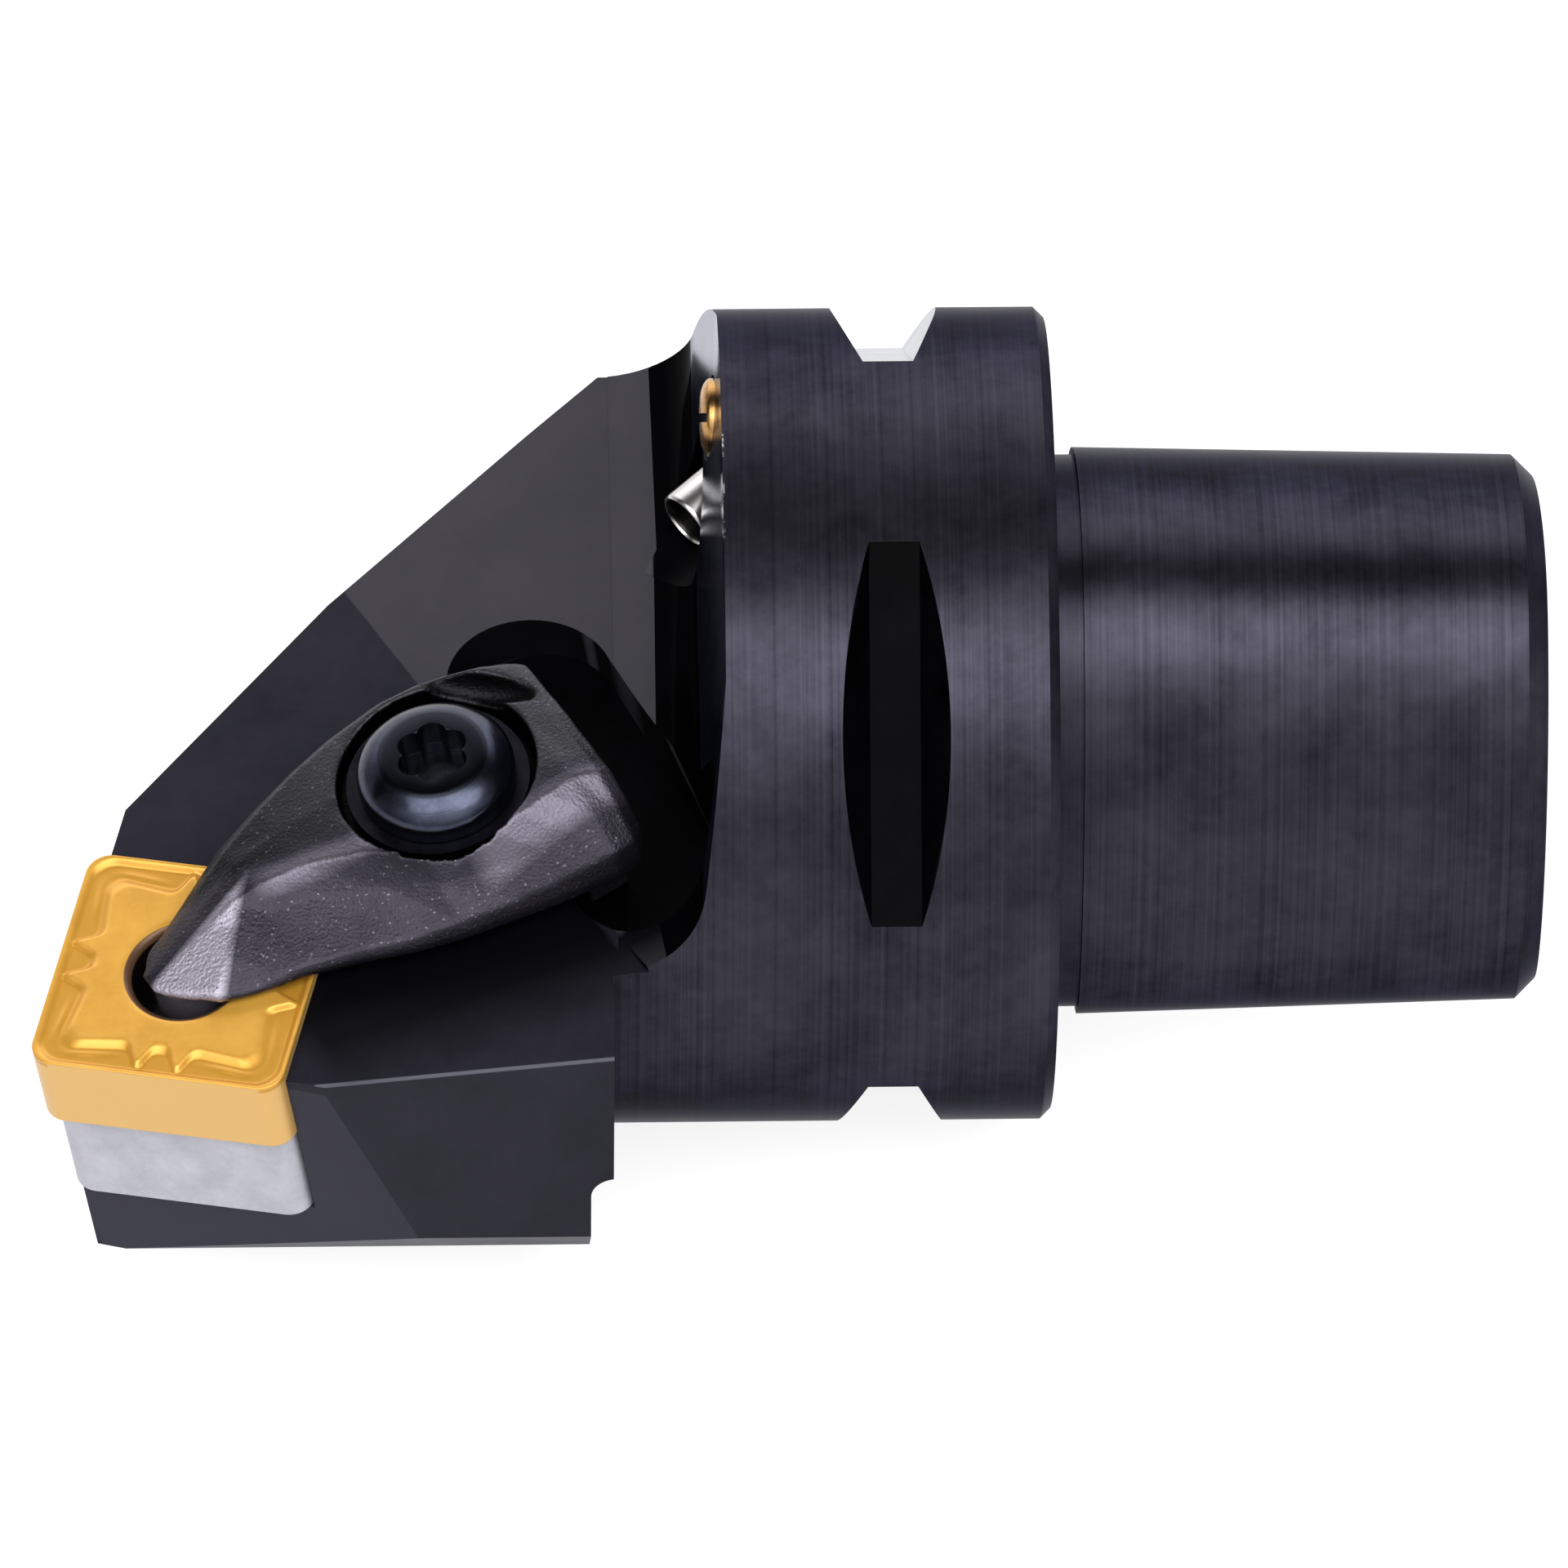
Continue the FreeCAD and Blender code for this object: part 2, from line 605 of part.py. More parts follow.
def shim_screw():
    """Countersunk screw that holds the shim down."""
    seat = -INSERT_THICKNESS - SHIM_HEAD_SINK
    body = turned([
        (0, seat),
        (SHIM_HEAD_RADIUS, seat),
        (SHIM_SCREW_RADIUS, seat - SHIM_HEAD_DEPTH),
        (SHIM_SCREW_RADIUS, seat - SHIM_SCREW_LENGTH + SHIM_TIP_CHAMFER),
        (SHIM_SCREW_RADIUS - SHIM_TIP_CHAMFER, seat - SHIM_SCREW_LENGTH),
        (0, seat - SHIM_SCREW_LENGTH),
    ])
    recess = star(SHIM_RECESS_RADIUS, RECESS_LOBES, seat - SHIM_HEAD_DEPTH / 2, seat + PAST)
    return placed(body.cut(recess), SEAT)


def station_wire(station):
    """Section of the clamp arm across its length."""
    reach, near, near_h, near_ridge, far_ridge, ridge_h, far, far_h = station
    corners = [
        V(reach, near, CLAMP_UNDERSIDE),
        V(reach, near, near_h),
        V(reach, near_ridge, ridge_h),
        V(reach, far_ridge, ridge_h),
        V(reach, far, far_h),
        V(reach, far, CLAMP_UNDERSIDE),
    ]
    return Part.makePolygon(corners + corners[:1])


def clamp_arm():
    """Forged top clamp: arm, nose that sits in the insert, pad and heel."""
    arm = Part.makeLoft([station_wire(station) for station in CLAMP_STATIONS], True, True)
    nose = rod(CLAMP_NOSE_RADIUS, -CLAMP_NOSE_DEPTH, CLAMP_UNDERSIDE, CLAMP_NOSE_SHIFT)
    pad = block((CLAMP_PAD_START, -CLAMP_PAD_WIDTH / 2, 0),
                (CLAMP_PAD_START + CLAMP_PAD_LENGTH, CLAMP_PAD_WIDTH / 2, CLAMP_UNDERSIDE))
    heel = block((HEEL_START, HEEL_NEAR, HEEL_SLOT_FLOOR),
                 (HEEL_START + HEEL_LENGTH, HEEL_NEAR + HEEL_WIDTH, CLAMP_UNDERSIDE))
    arm = arm.fuse(nose).fuse(pad).fuse(heel)
    well = rod(CLAMP_WELL_RADIUS, WASHER_SEAT, CLEAR, SCREW_REACH)
    bore = rod(SCREW_RADIUS + CLAMP_BORE_GAP, -PAST, CLEAR, SCREW_REACH)
    return placed(arm.cut(well).cut(bore).removeSplitter(), CLAMP)


def screw_place():
    """Frame of the clamp screw: its axis square to the insert's top."""
    return CLAMP.multiply(FreeCAD.Placement(V(SCREW_REACH, 0, 0), FreeCAD.Rotation()))


def ring_top():
    """Upper face of the retaining ring on the screw."""
    return CLAMP_UNDERSIDE - RING_PLAY


def clamp_screw():
    """Button head screw with a six-lobed recess and a groove for its ring."""
    tip = SCREW_SEAT - SCREW_LENGTH
    low = ring_top() - RING_THICKNESS
    neck = SCREW_RADIUS - RING_GROOVE_DEPTH
    body = turned([
        (0, SCREW_HEAD_TOP),
        (SCREW_FLAT_RADIUS, SCREW_HEAD_TOP),
        (SCREW_DOME_RADIUS, SCREW_SEAT + SCREW_DOME_HEIGHT),
        (SCREW_HEAD_RADIUS, SCREW_SEAT + SCREW_RIM_HEIGHT),
        (SCREW_HEAD_RADIUS, SCREW_SEAT),
        (SCREW_RADIUS, SCREW_SEAT),
        (SCREW_RADIUS, ring_top() + FIT_GAP),
        (neck, ring_top() + FIT_GAP),
        (neck, low - FIT_GAP),
        (SCREW_RADIUS, low - FIT_GAP),
        (SCREW_RADIUS, tip + SCREW_TIP_CHAMFER),
        (SCREW_RADIUS - SCREW_TIP_CHAMFER, tip),
        (0, tip),
    ])
    recess = star(RECESS_RADIUS, RECESS_LOBES, SCREW_HEAD_TOP - RECESS_DEPTH, SCREW_HEAD_TOP + PAST)
    return placed(body.cut(recess), screw_place())


def clamp_washer():
    """Flat washer under the screw head."""
    washer = rod(WASHER_RADIUS, WASHER_SEAT, SCREW_SEAT)
    return placed(washer.cut(rod(SCREW_RADIUS + CLAMP_BORE_GAP, -PAST, CLEAR)), screw_place())


def clamp_retaining_ring():
    """Open ring in the screw's groove, which keeps the screw in the clamp."""
    top = ring_top()
    ring = rod(RING_RADIUS, top - RING_THICKNESS, top)
    ring = ring.cut(rod(SCREW_RADIUS - RING_GROOVE_DEPTH + FIT_GAP, top - PAST, top + PAST))
    reach = 2 * RING_RADIUS
    half = reach * math.tan(RING_MOUTH / 2)
    low = top - PAST
    corners = [V(0, 0, low), V(reach, -half, low), V(reach, half, low)]
    mouth = Part.Face(Part.makePolygon(corners + corners[:1])).extrude(V(0, 0, 2 * PAST))
    return placed(ring.cut(mouth), screw_place())


def clamp_spring():
    """Coil spring that lifts the clamp off the insert."""
    low = SPRING_FLOOR + SPRING_WIRE / 2 + FIT_GAP
    high = CLAMP_UNDERSIDE - SPRING_WIRE / 2 - FIT_GAP
    path = Part.makeHelix((high - low) / SPRING_TURNS, high - low, SPRING_RADIUS)
    path.translate(V(0, 0, low))
    corners = []
    for k in range(SPRING_FLATS):
        angle = 2 * math.pi * (k + 0.5) / SPRING_FLATS
        out = SPRING_RADIUS + SPRING_WIRE / 2 * math.cos(angle)
        corners.append(V(out, 0, low + SPRING_WIRE / 2 * math.sin(angle)))
    section = Part.makePolygon(corners + corners[:1])
    spring = Part.Wire(path.Edges).makePipeShell([section], True, True)
    return placed(spring, screw_place())


def nozzle_ball():
    """Drilled ball that swivels in the flange."""
    ball = Part.makeSphere(BALL_RADIUS)
    ball = ball.cut(rod(BALL_BORE, -CLEAR, CLEAR))
    ball = ball.cut(rod(TUBE_RADIUS, -TUBE_SOCKET, CLEAR))
    return placed(ball, NOZZLE)


def nozzle_tube():
    """Thin tube pressed into the ball."""
    tube = rod(TUBE_RADIUS, -TUBE_SOCKET, NOZZLE_REACH)
    return placed(tube.cut(rod(TUBE_RADIUS - TUBE_WALL, -CLEAR, CLEAR)), NOZZLE)


def nozzle_retainer():
    """Ring with a round seat that holds the ball in the flange."""
    ring = rod(RETAINER_RADIUS, RETAINER_BACK, RETAINER_FRONT)
    ring = ring.cut(Part.makeSphere(BALL_RADIUS + BALL_GAP))
    return placed(ring.cut(rod(RETAINER_HOLE, -CLEAR, CLEAR)), NOZZLE)


def nozzle_seal():
    """Rubber ring behind the ball."""
    return placed(Part.makeTorus(SEAL_RADIUS, SEAL_SECTION, V(0, 0, seal_height())), NOZZLE)


def coolant_port_plug():
    """Slotted brass plug with a low domed head."""
    head = turned([
        (0, PLUG_HEAD),
        *PLUG_DOME,
        (PLUG_RADIUS, 0),
        (PLUG_STEM_RADIUS - FIT_GAP, 0),
        (PLUG_STEM_RADIUS - FIT_GAP, -PLUG_STEM_LENGTH),
        (0, -PLUG_STEM_LENGTH),
    ])
    slot = block((-PLUG_RADIUS, -PLUG_SLOT_WIDTH / 2, PLUG_HEAD - PLUG_SLOT_DEPTH),
                 (PLUG_RADIUS, PLUG_SLOT_WIDTH / 2, PLUG_HEAD + PAST))
    place = FreeCAD.Placement(V(-FLANGE_LENGTH, PLUG_SIDE, PLUG_HEIGHT),
                              FreeCAD.Rotation(V(0, 0, 1), V(-1, 0, 0)))
    return placed(head.cut(slot), place)


PIECES = (
    holder_body,
    cutting_insert,
    insert_shim,
    shim_screw,
    clamp_arm,
    clamp_screw,
    clamp_washer,
    clamp_retaining_ring,
    clamp_spring,
    nozzle_ball,
    nozzle_tube,
    nozzle_retainer,
    nozzle_seal,
    coolant_port_plug,
)


def main():
    """Write one STEP file for each piece, named after its function."""
    os.makedirs("parts", exist_ok=True)
    for piece in PIECES:
        shape = piece()
        box = shape.BoundBox
        print(piece.__name__, len(shape.Solids), shape.isValid(), round(shape.Volume, 2),
              [round(value, 2) for value in (box.XMin, box.YMin, box.ZMin, box.XMax, box.YMax, box.ZMax)])
        shape.exportStep("parts/" + piece.__name__ + ".step")


main()
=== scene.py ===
import math

import bmesh
import bpy
from mathutils import Matrix, Vector


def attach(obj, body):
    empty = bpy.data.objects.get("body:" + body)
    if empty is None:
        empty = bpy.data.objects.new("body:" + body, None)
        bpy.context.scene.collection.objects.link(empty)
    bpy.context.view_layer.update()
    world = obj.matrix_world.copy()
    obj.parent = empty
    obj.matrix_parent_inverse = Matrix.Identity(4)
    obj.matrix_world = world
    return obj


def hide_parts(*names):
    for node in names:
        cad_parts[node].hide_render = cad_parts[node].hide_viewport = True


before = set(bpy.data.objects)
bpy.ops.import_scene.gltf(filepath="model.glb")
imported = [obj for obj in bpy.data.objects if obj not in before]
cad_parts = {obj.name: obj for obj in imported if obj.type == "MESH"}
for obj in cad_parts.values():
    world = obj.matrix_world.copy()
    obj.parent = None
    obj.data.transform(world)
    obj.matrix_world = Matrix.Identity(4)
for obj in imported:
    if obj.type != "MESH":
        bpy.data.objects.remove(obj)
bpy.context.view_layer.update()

# One millimetre of the tool in the scene's metres
MM = 0.001

# Insert and clamp, in millimetres on the tool
NOSE = Vector((-50.0, -22.0, 0.0))
LEAD_ANGLE = math.radians(15)
TIP_ANGLE = math.radians(6)
INSERT_SIDE = 12.7
INSERT_THICKNESS = 4.76
INSERT_CORNER = 1.2
INSERT_HOLE = 2.58
INSERT_RIM = 0.45
SCREW_REACH = 15.0
CREASE_REACH = 18.4

# Slanted line on the near side where the relief under the insert ends
RELIEF_LINE = -35.4
RELIEF_TILT = 0.41

# Coolant nozzle and plug
FLANGE_FRONT = -16.1
COVE_END = -19.2
FLANGE_RADIUS = 20.0
NOZZLE_MOUTH = Vector((-17.7, 6.5, 7.0))
NOZZLE_REACH = 6.2
PLUG_CENTRE = (8.1, 12.8)
PLUG_SLOT_TURN = math.radians(48)


def place_of(origin, along, across, up):
    """Matrix from a piece's own millimetre frame to the scene."""
    turn = Matrix((along, across, up)).transposed().to_4x4()
    return Matrix.Translation(origin * MM) @ turn @ Matrix.Scale(MM, 4)


def insert_axes():
    """Directions along the insert's two seat sides, and square to its top."""
    rise = math.sin(TIP_ANGLE)
    run = math.cos(TIP_ANGLE)
    turn = math.acos(-math.tan(TIP_ANGLE) ** 2) - LEAD_ANGLE
    first = Vector((run * math.cos(LEAD_ANGLE), -run * math.sin(LEAD_ANGLE), rise))
    second = Vector((run * math.cos(turn), run * math.sin(turn), rise))
    return first, second, first.cross(second)


def turned_frame(origin, direction):
    """Frame of a turned piece whose axis points along direction."""
    rotation = Vector((0, 0, 1)).rotation_difference(direction)
    return Matrix.Translation(origin * MM) @ rotation.to_matrix().to_4x4() @ Matrix.Scale(MM, 4)


FIRST, SECOND, UP = insert_axes()
INSERT_CENTRE = NOSE + (FIRST + SECOND) * INSERT_SIDE / 2
DIAGONAL = (FIRST + SECOND).normalized()
ACROSS = (SECOND - FIRST).normalized()
SEAT = place_of(INSERT_CENTRE, FIRST, SECOND, UP)
CLAMP = place_of(INSERT_CENTRE, DIAGONAL, ACROSS, UP)
SCREW = place_of(INSERT_CENTRE + DIAGONAL * SCREW_REACH, DIAGONAL, ACROSS, UP)
AIM = (NOSE - NOZZLE_MOUTH).normalized()
NOZZLE = turned_frame(NOZZLE_MOUTH - AIM * NOZZLE_REACH, AIM)
PLUG = place_of(Vector((FLANGE_FRONT, *PLUG_CENTRE)), Vector((0, 1, 0)),
                Vector((0, 0, -1)), Vector((-1, 0, 0)))

# Screw well and rear hollow in the clamp's top, in the clamp's own frame
CLAMP_WELL = 4.95
HOLLOW_PLACE = Matrix.Translation((19.3, 3.0, 4.7)) @ Matrix.Rotation(math.radians(45), 4, "Z")
HOLLOW_SIZE = (0.9, 3.0, 1.5)


def mesh_piece(name, shape, body, nodes, place=None, sharp=35):
    """Turn a bmesh into a finished piece that rides on a body and stands for its CAD nodes."""
    if place is not None:
        bmesh.ops.transform(shape, matrix=place, verts=shape.verts)
    for edge in shape.edges:
        edge.smooth = edge.calc_face_angle(math.pi) < math.radians(sharp)
    for face in shape.faces:
        face.smooth = True
    mesh = bpy.data.meshes.new(name)
    shape.to_mesh(mesh)
    shape.free()
    piece = bpy.data.objects.new(name, mesh)
    bpy.context.scene.collection.objects.link(piece)
    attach(piece, body)
    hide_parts(*nodes)
    return piece


def copied_node(node):
    """Merged copy of a CAD node's mesh, ready for modifiers."""
    shape = bmesh.new()
    shape.from_mesh(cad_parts[node].data)
    bmesh.ops.remove_doubles(shape, verts=shape.verts, dist=1e-7)
    return shape


def add_bevel(piece, width, segments=2, angle=30):
    """Small rounding of a piece's sharp edges."""
    bevel = piece.modifiers.new("edges", "BEVEL")
    bevel.width = width * MM
    bevel.segments = segments
    bevel.profile = 0.5
    bevel.material = -1
    bevel.limit_method = "ANGLE"
    bevel.angle_limit = math.radians(angle)


def spun(points, steps=96):
    """Closed turned shape from (radius, height) points that start and end on the axis or loop."""
    shape = bmesh.new()
    corners = [shape.verts.new((radius, 0, height)) for radius, height in points]
    edges = [shape.edges.new(pair) for pair in zip(corners, corners[1:])]
    bmesh.ops.spin(shape, geom=corners + edges, cent=(0, 0, 0), axis=(0, 0, 1),
                   angle=2 * math.pi, steps=steps, use_merge=True)
    bmesh.ops.remove_doubles(shape, verts=shape.verts, dist=1e-5)
    bmesh.ops.recalc_face_normals(shape, faces=shape.faces)
    return shape


def node(tree, kind, values=None, **settings):
    """A shader node with its settings and socket values."""
    made = tree.nodes.new(kind)
    for key, value in settings.items():
        setattr(made, key, value)
    for key, value in (values or {}).items():
        made.inputs[key].default_value = value
    return made


def join(tree, *pairs):
    """Links, each given as (output socket, input socket)."""
    for output, target in pairs:
        tree.links.new(output, target)


def group(name, inputs, outputs):
    """Empty node group with float, colour or vector sockets."""
    tree = bpy.data.node_groups.new(name, "ShaderNodeTree")
    for side, sockets in (("INPUT", inputs), ("OUTPUT", outputs)):
        for label, kind in sockets:
            tree.interface.new_socket(label, in_out=side, socket_type="NodeSocket" + kind)
    return tree, tree.nodes.new("NodeGroupInput"), tree.nodes.new("NodeGroupOutput")


def band_group():
    """Mask that is 1 while a value lies between two limits."""
    tree, given, out = group("between_limits", [("Value", "Float"), ("Low", "Float"), ("High", "Float"),
                                                ("Soft", "Float")], [("Mask", "Float")])
    from_low = node(tree, "ShaderNodeMath", operation="SUBTRACT")
    to_high = node(tree, "ShaderNodeMath", operation="SUBTRACT")
    rise = node(tree, "ShaderNodeMath", operation="DIVIDE", use_clamp=True)
    fall = node(tree, "ShaderNodeMath", operation="DIVIDE", use_clamp=True)
    both = node(tree, "ShaderNodeMath", operation="MULTIPLY")
    join(tree,
         (given.outputs["Value"], from_low.inputs[0]), (given.outputs["Low"], from_low.inputs[1]),
         (given.outputs["High"], to_high.inputs[0]), (given.outputs["Value"], to_high.inputs[1]),
         (from_low.outputs[0], rise.inputs[0]), (given.outputs["Soft"], rise.inputs[1]),
         (to_high.outputs[0], fall.inputs[0]), (given.outputs["Soft"], fall.inputs[1]),
         (rise.outputs[0], both.inputs[0]), (fall.outputs[0], both.inputs[1]),
         (both.outputs[0], out.inputs["Mask"]))
    return tree


def clouds_group():
    """Two sizes of soft mottling in one mask."""
    tree, given, out = group("cloudy_mottling", [("Vector", "Vector"), ("Scale", "Float")],
                             [("Mask", "Float")])
    wide = node(tree, "ShaderNodeTexNoise", {"Detail": 5.0, "Roughness": 0.6})
    finer = node(tree, "ShaderNodeMath", operation="MULTIPLY")
    finer.inputs[1].default_value = 6.0
    small = node(tree, "ShaderNodeTexNoise", {"Detail": 3.0, "Roughness": 0.7})
    mixed = node(tree, "ShaderNodeMath", operation="MULTIPLY_ADD")
    mixed.inputs[1].default_value = 0.35
    join(tree,
         (given.outputs["Vector"], wide.inputs["Vector"]), (given.outputs["Scale"], wide.inputs["Scale"]),
         (given.outputs["Scale"], finer.inputs[0]), (finer.outputs[0], small.inputs["Scale"]),
         (given.outputs["Vector"], small.inputs["Vector"]),
         (small.outputs["Fac"], mixed.inputs[0]), (wide.outputs["Fac"], mixed.inputs[2]),
         (mixed.outputs[0], out.inputs["Mask"]))
    return tree


def lines_group():
    """Fine tool marks that vary along one direction only."""
    tree, given, out = group("tool_marks", [("Along", "Float"), ("Scale", "Float")], [("Height", "Float")])
    marks = node(tree, "ShaderNodeTexNoise", {"Detail": 4.0, "Roughness": 0.75}, noise_dimensions="1D")
    join(tree,
         (given.outputs["Along"], marks.inputs["W"]), (given.outputs["Scale"], marks.inputs["Scale"]),
         (marks.outputs["Fac"], out.inputs["Height"]))
    return tree


def grain_group():
    """Forged and blasted grain: a height, and a mask of small facets that carry painted glints."""
    tree, given, out = group("forged_grain", [("Vector", "Vector"), ("Scale", "Float")],
                             [("Height", "Float"), ("Sparkle", "Float")])
    pits = node(tree, "ShaderNodeTexVoronoi", feature="SMOOTH_F1")
    rough = node(tree, "ShaderNodeTexNoise", {"Detail": 6.0, "Roughness": 0.65})
    added = node(tree, "ShaderNodeMath", operation="MULTIPLY_ADD")
    added.inputs[1].default_value = 0.8
    facets = node(tree, "ShaderNodeTexVoronoi", feature="F1")
    double = node(tree, "ShaderNodeMath", operation="MULTIPLY")
    double.inputs[1].default_value = 1.7
    bright = node(tree, "ShaderNodeMapRange", {"From Min": 0.975, "From Max": 1.0})
    split = node(tree, "ShaderNodeSeparateColor")
    join(tree,
         (given.outputs["Vector"], pits.inputs["Vector"]), (given.outputs["Scale"], pits.inputs["Scale"]),
         (given.outputs["Vector"], rough.inputs["Vector"]), (given.outputs["Scale"], rough.inputs["Scale"]),
         (pits.outputs["Distance"], added.inputs[0]), (rough.outputs["Fac"], added.inputs[2]),
         (added.outputs[0], out.inputs["Height"]),
         (given.outputs["Scale"], double.inputs[0]), (double.outputs[0], facets.inputs["Scale"]),
         (given.outputs["Vector"], facets.inputs["Vector"]),
         (facets.outputs["Color"], split.inputs[0]), (split.outputs[0], bright.inputs["Value"]),
         (bright.outputs[0], out.inputs["Sparkle"]))
    return tree


BAND = band_group()
CLOUDS = clouds_group()
LINES = lines_group()
GRAIN = grain_group()


def material(name, metallic=0.0, roughness=0.4, specular=0.5):
    """Material with its shader and Object coordinates."""
    made = bpy.data.materials.new(name)
    made.use_nodes = True
    tree = made.node_tree
    tree.nodes.clear()
    shader = node(tree, "ShaderNodeBsdfPrincipled", {
        "Metallic": metallic, "Roughness": roughness, "Specular IOR Level": specular})
    out = node(tree, "ShaderNodeOutputMaterial")
    place = node(tree, "ShaderNodeTexCoord")
    join(tree, (shader.outputs[0], out.inputs["Surface"]))
    return made, tree, shader, place.outputs["Object"]


def grouped(tree, which, values=None):
    """One of the shared groups, placed in a material."""
    made = node(tree, "ShaderNodeGroup")
    made.node_tree = which
    for key, value in (values or {}).items():
        made.inputs[key].default_value = value
    return made


def two_colours(tree, mask, low, high, start=0.3, end=0.75):
    """Colour between two, by a mask."""
    ramp = node(tree, "ShaderNodeValToRGB")
    ramp.color_ramp.elements[0].position = start
    ramp.color_ramp.elements[0].color = (*low, 1)
    ramp.color_ramp.elements[1].position = end
    ramp.color_ramp.elements[1].color = (*high, 1)
    join(tree, (mask, ramp.inputs["Fac"]))
    return ramp.outputs["Color"]


def span(tree, value, low, high):
    """A mask stretched between two values."""
    made = node(tree, "ShaderNodeMapRange", {"To Min": low, "To Max": high})
    join(tree, (value, made.inputs["Value"]))
    return made.outputs["Result"]


def math_node(tree, operation, first, second=None):
    """Sum, product or similar of two sockets or numbers."""
    made = node(tree, "ShaderNodeMath", operation=operation)
    for index, value in enumerate((first, second)):
        if value is None:
            continue
        if isinstance(value, (int, float)):
            made.inputs[index].default_value = value
        else:
            join(tree, (value, made.inputs[index]))
    return made.outputs[0]


def mixed_colour(tree, mask, first, second):
    """Blend of two colours, each a socket or a colour."""
    made = node(tree, "ShaderNodeMix", data_type="RGBA")
    for index, value in ((6, first), (7, second)):
        if isinstance(value, tuple):
            made.inputs[index].default_value = (*value, 1)
        else:
            join(tree, (value, made.inputs[index]))
    join(tree, (mask, made.inputs[0]))
    return made.outputs[2]


def mixed_value(tree, mask, first, second):
    """Blend of two numbers, each a socket or a number."""
    made = node(tree, "ShaderNodeMix", data_type="FLOAT")
    for index, value in ((2, first), (3, second)):
        if isinstance(value, (int, float)):
            made.inputs[index].default_value = value
        else:
            join(tree, (value, made.inputs[index]))
    join(tree, (mask, made.inputs[0]))
    return made.outputs[0]


def bump(tree, height, shader, strength, depth):
    """Bump on a shader, with its depth in millimetres."""
    made = node(tree, "ShaderNodeBump", {"Strength": strength, "Distance": depth * MM})
    join(tree, (height, made.inputs["Height"]), (made.outputs[0], shader.inputs["Normal"]))


def in_frame(tree, coordinates, place):
    """Coordinates in a piece's own millimetre frame."""
    back = place.inverted()
    made = node(tree, "ShaderNodeMapping")
    made.inputs["Location"].default_value = back.to_translation()
    made.inputs["Rotation"].default_value = back.to_euler()
    made.inputs["Scale"].default_value = back.to_scale()
    join(tree, (coordinates, made.inputs["Vector"]))
    return made.outputs[0]


def parts_of(tree, vector):
    """The three numbers of a vector."""
    split = node(tree, "ShaderNodeSeparateXYZ")
    join(tree, (vector, split.inputs[0]))
    return split.outputs


def product(tree, first, *others):
    """Product of sockets or numbers."""
    for other in others:
        first = math_node(tree, "MULTIPLY", first, other)
    return first


def mapped(tree, value, low, high, top=1.0):
    """Mask that rises from 0 at low to top at high."""
    made = node(tree, "ShaderNodeMapRange", {"From Min": low, "From Max": high, "To Max": top})
    join(tree, (value, made.inputs["Value"]))
    return made.outputs["Result"]


def between(tree, value, low, high, soft):
    """Mask that is 1 between two limits, from the shared group."""
    made = grouped(tree, BAND, {"Low": low, "High": high, "Soft": soft})
    join(tree, (value, made.inputs["Value"]))
    return made.outputs[0]


def clouded(tree, vector, scale):
    """Mask of the shared mottling at one scale."""
    made = grouped(tree, CLOUDS, {"Scale": scale})
    join(tree, (vector, made.inputs["Vector"]))
    return made.outputs[0]


def marked(tree, along, scale):
    """Height of the shared tool marks, which vary along one direction."""
    made = grouped(tree, LINES, {"Scale": scale})
    join(tree, (along, made.inputs["Along"]))
    return made.outputs[0]


def radius_of(tree, x, y):
    """Distance from an axis."""
    return math_node(tree, "SQRT", math_node(tree, "ADD", product(tree, x, x), product(tree, y, y)))


def rubbed_rim(tree, place, x, y, z):
    """Mask of the bare patches along the top of the flange's front rim."""
    rim = between(tree, x, (FLANGE_FRONT - 0.2) * MM, (FLANGE_FRONT + 0.10) * MM, 0.04 * MM)
    patches = node(tree, "ShaderNodeTexNoise", {"Scale": 260.0, "Detail": 6.0, "Roughness": 0.8})
    join(tree, (place, patches.inputs["Vector"]))
    bare = mapped(tree, patches.outputs["Fac"], 0.51, 0.57, 0.85)
    middle = between(tree, y, -8.6 * MM, 1.4 * MM, 0.5 * MM)
    high = between(tree, z, 15 * MM, 30 * MM, 0.5 * MM)
    return product(tree, rim, bare, middle, high)


def turned_steel():
    """Blackened steel, turned and ground, with fine rings, cloudy wear and a rubbed front rim."""
    made, tree, shader, place = material("turned_black_steel", metallic=0.9)
    shader.inputs["Specular Tint"].default_value = (0.34, 0.34, 0.37, 1)
    x, y, z = parts_of(tree, place)
    clouds = clouded(tree, place, 170.0)
    rings = marked(tree, x, 3300.0)
    tone = math_node(tree, "ADD", product(tree, clouds, 0.8), product(tree, rings, 0.55))
    colour = two_colours(tree, tone, (0.0075, 0.007, 0.011), (0.041, 0.039, 0.052), 0.5, 1.0)
    colour = mixed_colour(tree, rubbed_rim(tree, place, x, y, z), colour, (0.60, 0.60, 0.62))
    join(tree, (colour, shader.inputs["Base Color"]),
         (span(tree, clouds, 0.27, 0.38), shader.inputs["Roughness"]))
    bump(tree, rings, shader, 0.6, 0.012)
    return made


def painted_relief_facet_light(tree, x, y, z):
    """Mask of the near side's part under the insert, ahead of its slanted line, painted paler for the light
    a tilted facet there catches.
    """
    lean = math_node(tree, "ADD", x, product(tree, z, RELIEF_TILT))
    ahead = between(tree, lean, -60 * MM, RELIEF_LINE * MM, 0.05 * MM)
    near = between(tree, y, -40 * MM, -20 * MM, 0.1 * MM)
    under_top = between(tree, z, -18.5 * MM, 0.3 * MM, 0.1 * MM)
    return product(tree, ahead, near, under_top, 0.8)


